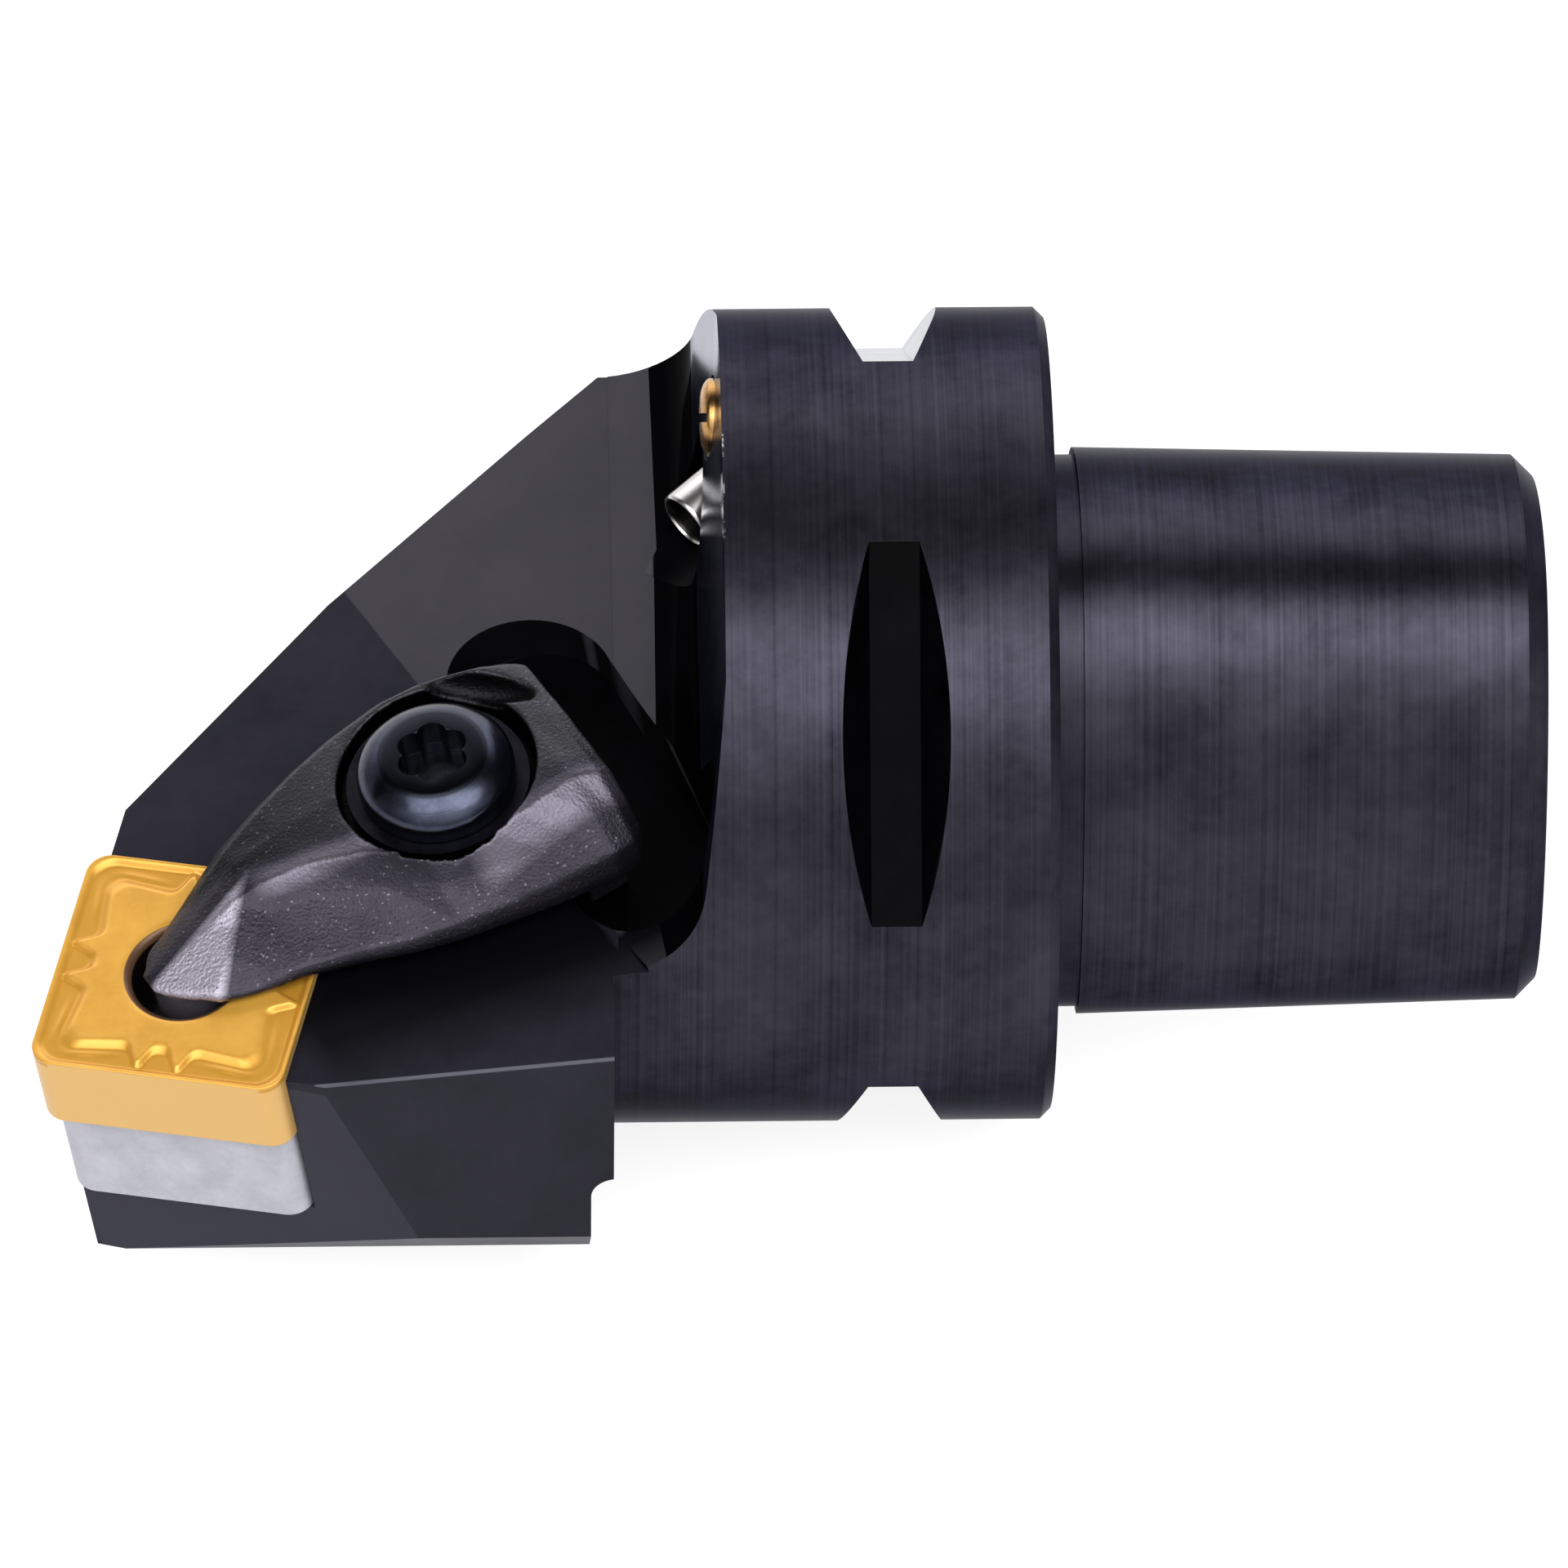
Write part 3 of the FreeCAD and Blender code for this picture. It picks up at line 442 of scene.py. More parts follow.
def painted_clamp_shade(tree, reach, across, height):
    """Mask of the painted shadow that darkens the steel close beside the clamp's near edge."""
    beside = math_node(tree, "ADD", across, product(tree, reach, 0.25))
    close = mapped(tree, beside, -10.4, -6.6)
    along = between(tree, reach, 2.0, 22.0, 1.5)
    near = between(tree, across, -30.0, -2.0, 1.0)
    on_top = between(tree, height, -0.72, 4.0, 0.05)
    return product(tree, close, along, near, on_top)


def milled_steel():
    """Blackened steel of the head, milled flat, with the front part darker, a painted highlight along the
    near side's top edge, a painted lighter facet under the insert, and a painted shadow beside the clamp.
    """
    made, tree, shader, place = material("milled_black_steel", metallic=0.3, specular=0.2)
    shader.inputs["Specular Tint"].default_value = (0.45, 0.47, 0.60, 1)
    x, y, z = parts_of(tree, place)
    reach, across, height = parts_of(tree, in_frame(tree, place, CLAMP))
    clouds = clouded(tree, place, 210.0)
    strokes = marked(tree, math_node(tree, "ADD", y, product(tree, x, 0.25)), 5200.0)
    tone = math_node(tree, "ADD", product(tree, clouds, 0.8), product(tree, strokes, 0.14))
    dark = two_colours(tree, tone, (0.010, 0.0095, 0.014), (0.022, 0.021, 0.029), 0.42, 0.9)
    pale = two_colours(tree, clouds, (0.036, 0.034, 0.039), (0.047, 0.044, 0.050), 0.45, 0.9)
    top = product(tree, between(tree, reach, CREASE_REACH, 60.0, 0.1),
                  between(tree, z, 3.2 * MM, 5.4 * MM, 0.02 * MM))
    # Paler band along the top edge of the near side face: partly bare wear, partly a painted highlight for
    # the light its broken edge catches
    worn_edge_highlight = product(tree, between(tree, height, -0.76, -0.5, 0.05),
                   between(tree, y, -40 * MM, -24.55 * MM, 0.05 * MM))
    colour = mixed_colour(tree, worn_edge_highlight, mixed_colour(tree, top, dark, pale), (0.11, 0.11, 0.13))
    # Painted lighter shading on the facet under the insert
    colour = mixed_colour(tree, painted_relief_facet_light(tree, x, y, z), colour, (0.034, 0.033, 0.045))
    # Painted shadow of the clamp: near-black steel beside its near edge
    shade = painted_clamp_shade(tree, reach, across, height)
    colour = mixed_colour(tree, shade, colour, (0.0012, 0.0011, 0.002))
    join(tree, (colour, shader.inputs["Base Color"]),
         (span(tree, clouds, 0.36, 0.52), shader.inputs["Roughness"]))
    bump(tree, strokes, shader, 0.18, 0.012)
    return made


def polished_steel():
    """Blackened steel polished like a dark mirror."""
    made, tree, shader, place = material("polished_black_steel", specular=0.002)
    clouds = clouded(tree, place, 300.0)
    colour = two_colours(tree, clouds, (0.0004, 0.0004, 0.0006), (0.0014, 0.0014, 0.0020), 0.4, 0.9)
    join(tree, (colour, shader.inputs["Base Color"]),
         (span(tree, clouds, 0.06, 0.11), shader.inputs["Roughness"]))
    bump(tree, clouds, shader, 0.02, 0.01)
    return made


def faced_steel():
    """Front face of the flange: dark, finely brushed up and down, nearly a mirror."""
    made, tree, shader, place = material("faced_black_steel", metallic=0.35, specular=0.16)
    shader.inputs["Specular Tint"].default_value = (0.55, 0.60, 0.80, 1)
    clouds = clouded(tree, place, 300.0)
    brushed = marked(tree, parts_of(tree, place)[1], 3000.0)
    colour = two_colours(tree, clouds, (0.003, 0.004, 0.008), (0.010, 0.012, 0.022), 0.4, 0.9)
    join(tree, (colour, shader.inputs["Base Color"]),
         (span(tree, clouds, 0.09, 0.17), shader.inputs["Roughness"]))
    bump(tree, brushed, shader, 0.2, 0.01)
    return made


def pocket_steel():
    """Blackened steel inside pockets and bores, with faint cutter marks, two painted reflection bands, and
    painted shade that turns it near black towards the near side.
    """
    made, tree, shader, place = material("pocket_steel_painted_reflections_and_shade", metallic=0.95, specular=0.3)
    clouds = clouded(tree, place, 260.0)
    marks = marked(tree, parts_of(tree, place)[2], 4000.0)
    colour = two_colours(tree, clouds, (0.06, 0.06, 0.075), (0.12, 0.12, 0.145), 0.4, 0.9)
    across = parts_of(tree, in_frame(tree, place, CLAMP))[1]
    # Painted reflections: a wide and a narrow pale band on the pocket walls
    wide = between(tree, across, 1.6, 5.6, 1.4)
    narrow = between(tree, across, 6.7, 7.6, 0.3)
    colour = mixed_colour(tree, math_node(tree, "MAXIMUM", wide, narrow), colour, (0.80, 0.79, 0.93))
    # Painted shade: near black towards the near side
    colour = mixed_colour(tree, mapped(tree, across, -2.5, 1.5), (0.002, 0.002, 0.003), colour)
    join(tree, (colour, shader.inputs["Base Color"]),
         (span(tree, clouds, 0.10, 0.20), shader.inputs["Roughness"]))
    bump(tree, marks, shader, 0.12, 0.01)
    return made


def slot_steel():
    """Matt near-black steel as painted shade inside the gripping slots, paler where a cut runs out into the
    head's top.
    """
    made, tree, shader, place = material("slot_steel_painted_shade", specular=0.02)
    clouds = clouded(tree, place, 240.0)
    colour = two_colours(tree, clouds, (0.0003, 0.0003, 0.0005), (0.0022, 0.0022, 0.0032), 0.5, 0.95)
    x, y, z = parts_of(tree, place)
    ahead = product(tree, between(tree, x, -22 * MM, COVE_END * MM, 0.1 * MM),
                    between(tree, y, 3 * MM, 12 * MM, 0.1 * MM))
    colour = mixed_colour(tree, ahead, colour, (0.072, 0.068, 0.077))
    join(tree, (colour, shader.inputs["Base Color"]),
         (span(tree, clouds, 0.28, 0.45), shader.inputs["Roughness"]))
    bump(tree, clouds, shader, 0.15, 0.02)
    return made


def insert_flank(tree, a, b, height, radius):
    """Mask of the insert's side faces, up to the edge of its top."""
    low_side = product(tree, between(tree, height, -6.0, -0.34, 0.04),
                       between(tree, radius, 5.9, 20.0, 0.1))
    reach = math_node(tree, "MAXIMUM", math_node(tree, "ABSOLUTE", a), math_node(tree, "ABSOLUTE", b))
    edge = between(tree, reach, INSERT_SIDE / 2 - 0.02, 20.0, 0.01)
    under = between(tree, height, -6.0, -0.05, 0.02)
    return math_node(tree, "MAXIMUM", low_side, product(tree, edge, under))


def gold_coating():
    """Gold nitride coating with a browner ring round the hole, painted shade near black inside the hole and
    darker in the chip groove, and a yellower flank.
    """
    made, tree, shader, place = material("gold_coating", metallic=0.4, specular=0.5)
    local = in_frame(tree, place, SEAT)
    a, b, height = parts_of(tree, local)
    radius = radius_of(tree, a, b)
    clouds = clouded(tree, local, 0.35)
    colour = two_colours(tree, clouds, (0.60, 0.295, 0.035), (0.74, 0.39, 0.058), 0.4, 0.9)
    # Painted shade: darker gold deeper in the chip groove
    colour = mixed_colour(tree, mapped(tree, height, -0.05, -0.26, 0.8), colour, (0.52, 0.25, 0.02))
    # Painted shade: near black down inside the hole, under a browner ring at its rim
    deep = between(tree, height, -4.4, -0.3, 0.05)
    brown_ring_and_hole_shade = mixed_colour(tree, deep, (0.12, 0.06, 0.03), (0.008, 0.005, 0.004))
    colour = mixed_colour(tree, between(tree, radius, -1.0, 3.02, 0.06), colour, brown_ring_and_hole_shade)
    colour = mixed_colour(tree, insert_flank(tree, a, b, height, radius), colour, (0.72, 0.43, 0.13))
    join(tree, (colour, shader.inputs["Base Color"]),
         (span(tree, clouds, 0.26, 0.40), shader.inputs["Roughness"]))
    fine = node(tree, "ShaderNodeTexNoise", {"Scale": 9.0, "Detail": 4.0, "Roughness": 0.7})
    join(tree, (local, fine.inputs["Vector"]))
    bump(tree, fine.outputs["Fac"], shader, 0.12, 0.02)
    return made


def pale_carbide():
    """Ground carbide of the shim, cloudy with faint grinding lines."""
    made, tree, shader, place = material("pale_carbide", metallic=0.25, specular=0.5)
    local = in_frame(tree, place, SEAT)
    clouds = clouded(tree, local, 0.45)
    colour = two_colours(tree, clouds, (0.36, 0.36, 0.41), (0.57, 0.565, 0.62), 0.35, 0.95)
    join(tree, (colour, shader.inputs["Base Color"]),
         (span(tree, clouds, 0.5, 0.36), shader.inputs["Roughness"]))
    bump(tree, marked(tree, parts_of(tree, local)[2], 6.0), shader, 0.15, 0.02)
    return made


def clamp_highlights(tree, x, y, slope):
    """Mask of the painted highlights along the clamp's ridge and on its rear shoulder."""
    ridge = product(tree, between(tree, slope, 1.0, 2.9, 0.7), between(tree, x, 4.4, 13.0, 1.2))
    rear = product(tree, between(tree, y, -6.6, -4.0, 0.8), between(tree, x, 13.6, 22.5, 1.2))
    return product(tree, math_node(tree, "MAXIMUM", ridge, rear), 0.85)


def clamp_facet_highlight(tree, x, y):
    """Mask of the clamp's front facet, painted pale as a highlight."""
    front = mapped(tree, math_node(tree, "SUBTRACT", product(tree, y, 0.95), x), -3.75, -3.05)
    near = mapped(tree, math_node(tree, "SUBTRACT", product(tree, x, 0.22), y), -0.35, 0.0)
    return product(tree, front, near)


def clamp_recess_shade(tree, place):
    """Mask of the painted shade in the clamp's screw well and in its hollow."""
    x, y, z = parts_of(tree, in_frame(tree, place, SCREW))
    well = between(tree, radius_of(tree, x, y), -1.0, CLAMP_WELL + 0.1, 0.1)
    stretched = node(tree, "ShaderNodeVectorMath", operation="DIVIDE")
    stretched.inputs[1].default_value = HOLLOW_SIZE
    length = node(tree, "ShaderNodeVectorMath", operation="LENGTH")
    join(tree, (in_frame(tree, place, CLAMP @ HOLLOW_PLACE), stretched.inputs[0]),
         (stretched.outputs[0], length.inputs[0]))
    hollow = between(tree, length.outputs["Value"], -1.0, 1.12, 0.15)
    return math_node(tree, "MAXIMUM", well, hollow)


def forged_steel():
    """Blasted, blackened surface of the forged clamp, with painted highlights along its ridge, on its rear
    shoulder and front facet, painted glints, and painted shade on its far flank and in its well and hollow.
    """
    made, tree, shader, place = material("forged_steel", metallic=0.85)
    grain = grouped(tree, GRAIN, {"Scale": 6800.0})
    join(tree, (place, grain.inputs["Vector"]))
    sparkle = grain.outputs["Sparkle"]
    clouds = clouded(tree, place, 260.0)
    x, y, z = parts_of(tree, in_frame(tree, place, CLAMP))
    slope = math_node(tree, "ADD", y, product(tree, x, 0.325))
    colour = two_colours(tree, clouds, (0.019, 0.017, 0.023), (0.038, 0.035, 0.046), 0.4, 0.95)
    # Painted shade: the far flank, near black towards the nose
    far_side_shade = mixed_colour(tree, mapped(tree, x, 4.0, 12.0), (0.003, 0.003, 0.004), (0.040, 0.038, 0.044))
    colour = mixed_colour(tree, between(tree, slope, 2.9, 60.0, 0.5), colour, far_side_shade)
    # Painted highlights along the ridge and rear shoulder
    colour = mixed_colour(tree, clamp_highlights(tree, x, y, slope), colour, (0.135, 0.125, 0.155))
    # Painted highlight on the front facet
    colour = mixed_colour(tree, clamp_facet_highlight(tree, x, y), colour, (0.29, 0.265, 0.315))
    # Painted glints on small facets of the grain
    colour = mixed_colour(tree, sparkle, colour, (0.12, 0.11, 0.13))
    # Painted shade: near black in the screw well and the hollow
    colour = mixed_colour(tree, clamp_recess_shade(tree, place), colour, (0.001, 0.001, 0.0013))
    join(tree, (colour, shader.inputs["Base Color"]),
         (mixed_value(tree, sparkle, 0.36, 0.3), shader.inputs["Roughness"]))
    bump(tree, grain.outputs["Height"], shader, 0.75, 0.036)
    return made


def screw_steel():
    """Glossy blackened screw head with fine turned rings."""
    made, tree, shader, place = material("glossy_black_steel", metallic=0.95)
    local = in_frame(tree, place, SCREW)
    x, y, z = parts_of(tree, local)
    radius = radius_of(tree, x, y)
    clouds = clouded(tree, local, 0.8)
    colour = two_colours(tree, clouds, (0.020, 0.024, 0.036), (0.056, 0.062, 0.090), 0.4, 0.95)
    colour = mixed_colour(tree, between(tree, radius, 1.5, 2.75, 0.1), colour, (0.016, 0.018, 0.024))
    join(tree, (colour, shader.inputs["Base Color"]),
         (span(tree, clouds, 0.10, 0.2), shader.inputs["Roughness"]))
    bump(tree, marked(tree, radius, 9.0), shader, 0.25, 0.02)
    return made


def bright_steel(name, low, high, smooth, rougher):
    """Polished steel with faint cloudy tarnish."""
    made, tree, shader, place = material(name, metallic=1.0)
    clouds = clouded(tree, place, 600.0)
    join(tree, (two_colours(tree, clouds, low, high, 0.4, 0.95), shader.inputs["Base Color"]),
         (span(tree, clouds, smooth, rougher), shader.inputs["Roughness"]))
    fine = node(tree, "ShaderNodeTexNoise", {"Scale": 5000.0, "Detail": 3.0})
    join(tree, (place, fine.inputs["Vector"]))
    bump(tree, fine.outputs["Fac"], shader, 0.08, 0.01)
    return made


def black_rubber():
    """Seal rubber with a faint moulded grain."""
    made, tree, shader, place = material("seal_rubber", roughness=0.6, specular=0.35)
    clouds = clouded(tree, place, 900.0)
    join(tree, (two_colours(tree, clouds, (0.010, 0.010, 0.011), (0.026, 0.026, 0.028)),
                shader.inputs["Base Color"]))
    bump(tree, clouds, shader, 0.3, 0.02)
    return made


FINISH = {
    "turned": turned_steel(),
    "milled": milled_steel(),
    "polished": polished_steel(),
    "pocket": pocket_steel(),
    "slot": slot_steel(),
    "faced": faced_steel(),
    "insert": gold_coating(),
    "shim": pale_carbide(),
    "clamp": forged_steel(),
    "screw": screw_steel(),
    "bright": bright_steel("polished_steel", (0.42, 0.40, 0.38), (0.66, 0.64, 0.62), 0.14, 0.3),
    "washer": bright_steel("black_washer_steel", (0.010, 0.010, 0.014), (0.022, 0.022, 0.03), 0.3, 0.45),
    "dull": bright_steel("plain_steel", (0.22, 0.22, 0.24), (0.38, 0.38, 0.40), 0.3, 0.45),
    "brass": bright_steel("brass", (0.20, 0.09, 0.025), (0.62, 0.36, 0.13), 0.16, 0.32),
    "recess": bright_steel("recess_steel_painted_shade", (0.003, 0.003, 0.005), (0.05, 0.053, 0.065), 0.16, 0.3),
    "inside": bright_steel("dark_bored_steel", (0.015, 0.014, 0.014), (0.06, 0.055, 0.05), 0.2, 0.4),
    "rubber": black_rubber(),
}


def paint(piece, finish):
    """Give a piece one finish."""
    piece.data.materials.clear()
    piece.data.materials.append(FINISH[finish])


# Limits that part the body's faces by finish, in millimetres on the tool
HEAD_TOP = 3.3
BORE_LIMIT = 11.5
COVE_REACH = 6.2
COVE_STEEP = 0.58
RIM_WIDTH = 1.2
NOZZLE_POCKET = 3.05
NOZZLE_DEPTHS = (-6, 10)
FAR_SLOT = 9.0
HEEL_POCKET = ((17.6, -12.2), (27.8, 10.6))
HEEL_TOP = -0.65


def on_flange_round(face):
    """Whether a face lies on the flange's round outside."""
    return all(abs(math.hypot(vert.co.y, vert.co.z) / MM - FLANGE_RADIUS) < 0.02 for vert in face.verts)


def finish_of(face):
    """Which finish of the body a face belongs to, by its place in millimetres."""
    middle = face.calc_center_median() / MM
    radius = math.hypot(middle.y, middle.z)
    if middle.x > -0.05:
        return "pocket" if radius < BORE_LIMIT and abs(face.normal.x) < 0.9 else "turned"
    if on_flange_round(face) and radius > FLANGE_RADIUS - 0.1:
        return "turned"
    if middle.x > -1.0 and radius > FLANGE_RADIUS - RIM_WIDTH:
        return "turned"
    local = CLAMP.inverted() @ face.calc_center_median()
    low, high = HEEL_POCKET
    if low[0] < local.x < high[0] and low[1] < local.y < high[1] and middle.z < HEAD_TOP - 0.02:
        if local.z < HEEL_TOP:
            return "slot" if abs(face.normal.z) > 0.7 else "pocket"
    aimed = NOZZLE.inverted() @ face.calc_center_median()
    if math.hypot(aimed.x, aimed.y) < NOZZLE_POCKET and NOZZLE_DEPTHS[0] < aimed.z < NOZZLE_DEPTHS[1]:
        return "slot"
    if middle.x > FLANGE_FRONT + 0.1:
        if radius > FLANGE_RADIUS - 0.3 and abs(face.normal.x) > 0.95:
            return "turned"
        return "faced" if middle.y > FAR_SLOT and middle.z > 0 else "slot"
    if middle.x > FLANGE_FRONT - COVE_REACH and middle.z > HEAD_TOP + 0.02:
        steep = abs(face.normal.x)
        if steep > 0.97:
            return "faced"
        return "polished" if steep > COVE_STEEP else "milled"
    return "milled"


def holder():
    """Steel body with its edges broken and a finish for each machined surface."""
    shape = copied_node("holder_body")
    order = ("turned", "milled", "polished", "pocket", "slot", "faced")
    for face in shape.faces:
        face.material_index = order.index(finish_of(face))
    piece = mesh_piece("holder_steel", shape, "holder", ["holder_body"], sharp=28)
    for finish in order:
        piece.data.materials.append(FINISH[finish])
    add_bevel(piece, 0.07, 2, 28)


# Clamp arm sections in its own frame: reach, then seven points from the near edge to the far edge
CLAMP_UNDERSIDE = 0.35
CLAMP_SECTIONS = (
    (-1.95, (-0.6, 0.42), (-0.5, 0.5), (-0.4, 0.55), (0.0, 0.62), (0.3, 0.6), (0.5, 0.55), (0.7, 0.45)),
    (-1.0, (-1.75, 0.48), (-1.65, 0.58), (-1.5, 0.66), (0.1, 0.98), (0.6, 0.9), (1.0, 0.75), (1.4, 0.5)),
    (0.3, (-3.0, 0.55), (-2.9, 0.72), (-2.7, 0.86), (0.2, 1.44), (1.0, 1.28), (1.7, 1.0), (2.3, 0.6)),
    (1.8, (-3.6, 0.65), (-3.0, 0.95), (-1.7, 1.57), (0.3, 1.97), (1.3, 1.72), (2.2, 1.35), (3.0, 0.85)),
    (3.2, (-3.95, 0.7), (-3.7, 0.95), (-0.9, 2.05), (0.4, 2.5), (1.7, 2.25), (2.9, 1.85), (3.7, 1.05)),
    (4.6, (-4.2, 0.75), (-4.0, 1.05), (-1.0, 2.15), (0.3, 2.88), (2.1, 2.7), (3.4, 2.35), (4.3, 1.4)),
    (7.1, (-5.1, 0.8), (-4.9, 1.15), (-1.8, 2.35), (-0.4, 3.4), (2.2, 3.15), (4.2, 2.8), (4.9, 2.0)),
    (9.7, (-6.2, 0.85), (-6.0, 1.3), (-3.3, 2.6), (-1.9, 3.9), (2.0, 3.65), (4.9, 3.2), (5.5, 2.4)),
    (12.0, (-6.9, 0.9), (-6.7, 1.5), (-4.9, 2.8), (-3.7, 4.2), (1.5, 4.15), (5.2, 3.6), (5.9, 2.7)),
    (15.0, (-7.5, 0.95), (-7.3, 1.6), (-5.9, 2.9), (-4.8, 4.4), (0.0, 4.5), (5.3, 4.1), (6.1, 3.0)),
    (17.0, (-7.9, 1.0), (-7.7, 1.9), (-6.3, 3.2), (-4.9, 4.6), (0.0, 4.6), (5.0, 4.3), (5.9, 3.1)),
    (18.5, (-8.1, 1.0), (-7.9, 2.1), (-6.5, 3.4), (-4.8, 4.7), (0.0, 4.6), (4.5, 4.4), (5.5, 3.2)),
    (20.0, (-8.3, 1.0), (-8.1, 2.2), (-6.6, 3.5), (-4.6, 4.7), (0.0, 4.55), (4.0, 4.4), (4.9, 3.3)),
    (21.3, (-8.1, 1.1), (-7.9, 2.0), (-6.7, 3.1), (-4.9, 4.4), (-0.5, 4.4), (3.4, 4.2), (4.4, 3.2)),
    (22.0, (-7.4, 1.3), (-7.2, 1.9), (-6.4, 2.8), (-5.0, 3.9), (-0.8, 4.2), (3.0, 4.0), (4.0, 3.1)),
)
WASHER_SEAT = 2.6
NOSE_PIN_RADIUS = 2.1
SCREW_HOLE_RADIUS = 2.12
CLAMP_PAD = ((3.2, -2.5, 0.0), (5.4, 2.5, 0.6))
CLAMP_HEEL = ((19.5, -5.2, -4.6), (21.7, 2.4, 0.6))

# Turned outlines as radius and height, from the axis and back to it
BOLT_OUTLINE = [
    (0, 5.7), (1.6, 5.7), (2.42, 5.69), (2.55, 5.65), (2.95, 5.45), (3.35, 5.17), (3.66, 4.86),
    (3.82, 4.6), (3.875, 4.35), (3.875, 3.6), (3.8, 3.5), (2.0, 3.5), (2.0, 0.05), (1.6, 0.05),
    (1.6, -0.55), (2.0, -0.55), (2.0, -14.1), (1.6, -14.5), (0, -14.5),
]
PLUG_OUTLINE = [
    (0, 0.90), (0.5, 0.895), (0.98, 0.865), (1.35, 0.80), (1.66, 0.68), (1.86, 0.54), (1.95, 0.4),
    (1.95, 0.0), (1.55, 0.0), (1.55, -4.0), (0, -4.0),
]

# Closed wall of the nozzle tube with its rolled end
TUBE_OUTLINE = [
    (1.25, -0.4), (1.25, 5.85), (1.30, 6.08), (1.37, 6.19), (1.45, 6.19), (1.52, 6.12), (1.55, 5.98),
    (1.55, -0.4), (1.25, -0.4),
]
LOBE_RADIUS = 1.82
LOBE_FLOOR = 4.1
SEAM_TURN = math.radians(200)
SEAM_WIDTH = math.radians(2.2)
SEAM_DEPTH = 0.97


def closed_section(section):
    """All the corners of one clamp section, with its two underside corners."""
    reach, *upper = section
    corners = [(upper[0][0], CLAMP_UNDERSIDE), *upper, (upper[-1][0], CLAMP_UNDERSIDE)]
    return [Vector((reach, across, height)) for across, height in corners]


def clamp_loft():
    """Forged body of the clamp, as a loft through its sections."""
    shape = bmesh.new()
    ring = [shape.verts.new(corner) for corner in closed_section(CLAMP_SECTIONS[0])]
    shape.faces.new(ring)
    edges = list(shape.edges)
    for section in CLAMP_SECTIONS[1:]:
        grown = bmesh.ops.extrude_edge_only(shape, edges=edges)["geom"]
        verts = [part for part in grown if isinstance(part, bmesh.types.BMVert)]
        edges = [part for part in grown if isinstance(part, bmesh.types.BMEdge)]
        for vert, corner in zip(verts, closed_section(section)):
            vert.co = corner
        edges = [edge for edge in edges if all(vert in verts for vert in edge.verts)]
    bmesh.ops.contextual_create(shape, geom=edges)
    bmesh.ops.recalc_face_normals(shape, faces=shape.faces)
    return shape


def rod(radius, low, high, x=0.0, y=0.0, steps=64):
    """Plain upright round tool for cutting or adding."""
    shape = bmesh.new()
    bmesh.ops.create_cone(shape, cap_ends=True, segments=steps, radius1=radius, radius2=radius,
                          depth=high - low, matrix=Matrix.Translation((x, y, (low + high) / 2)))
    return shape


def brick(low, high):
    """Plain block between two corners."""
    shape = bmesh.new()
    bmesh.ops.create_cube(shape, size=1)
    size = Vector(high) - Vector(low)
    bmesh.ops.scale(shape, verts=shape.verts, vec=size)
    bmesh.ops.translate(shape, verts=shape.verts, vec=(Vector(low) + Vector(high)) / 2)
    return shape


def plain_object(name, shape):
    """Object straight from a bmesh, for the floor or as a help while a piece is made."""
    mesh = bpy.data.meshes.new(name)
    shape.to_mesh(mesh)
    shape.free()
    made = bpy.data.objects.new(name, mesh)
    bpy.context.scene.collection.objects.link(made)
    return made


def carved(base, steps, finishing=()):
    """Boolean steps on a shape, then finishing modifiers, all applied. Each step is (operation, bmesh)."""
    subject = plain_object("subject", base)
    helpers = []
    for index, (operation, shape) in enumerate(steps):
        helper = plain_object("helper_%d" % index, shape)
        helpers.append(helper)
        cut = subject.modifiers.new("step_%d" % index, "BOOLEAN")
        cut.operation = operation
        cut.solver = "EXACT"
        cut.object = helper
    for kind, settings in finishing:
        last = subject.modifiers.new(kind.lower(), kind)
        for key, value in settings.items():
            setattr(last, key, value)
    bpy.context.view_layer.update()
    ready = subject.evaluated_get(bpy.context.evaluated_depsgraph_get())
    shape = bmesh.new()
    shape.from_mesh(ready.to_mesh())
    ready.to_mesh_clear()
    for made in (subject, *helpers):
        bpy.data.objects.remove(made)
    return shape


def clamp():
    """Forged clamp with soft edges, its screw well, its hollow, its nose, pad and heel."""
    hollow = bmesh.new()
    bmesh.ops.create_uvsphere(hollow, u_segments=32, v_segments=16, radius=1.0)
    bmesh.ops.scale(hollow, verts=hollow.verts, vec=HOLLOW_SIZE)
    bmesh.ops.transform(hollow, verts=hollow.verts, matrix=HOLLOW_PLACE)
    steps = [
        ("UNION", rod(NOSE_PIN_RADIUS, -1.6, 0.6, 0.3)),
        ("UNION", brick(*CLAMP_PAD)),
        ("UNION", brick(*CLAMP_HEEL)),
        ("DIFFERENCE", rod(CLAMP_WELL, WASHER_SEAT, 9.0, SCREW_REACH, steps=128)),
        ("DIFFERENCE", rod(SCREW_HOLE_RADIUS, -1.0, 9.0, SCREW_REACH)),
        ("DIFFERENCE", hollow),
    ]
    finishing = [
        ("REMESH", {"mode": "VOXEL", "voxel_size": 0.13, "use_smooth_shade": True}),
        ("SMOOTH", {"factor": 0.5, "iterations": 6}),
    ]
    shape = carved(clamp_loft(), steps, finishing)
    piece = mesh_piece("forged_clamp", shape, "clamp", ["clamp_arm"], place=CLAMP, sharp=80)
    paint(piece, "clamp")


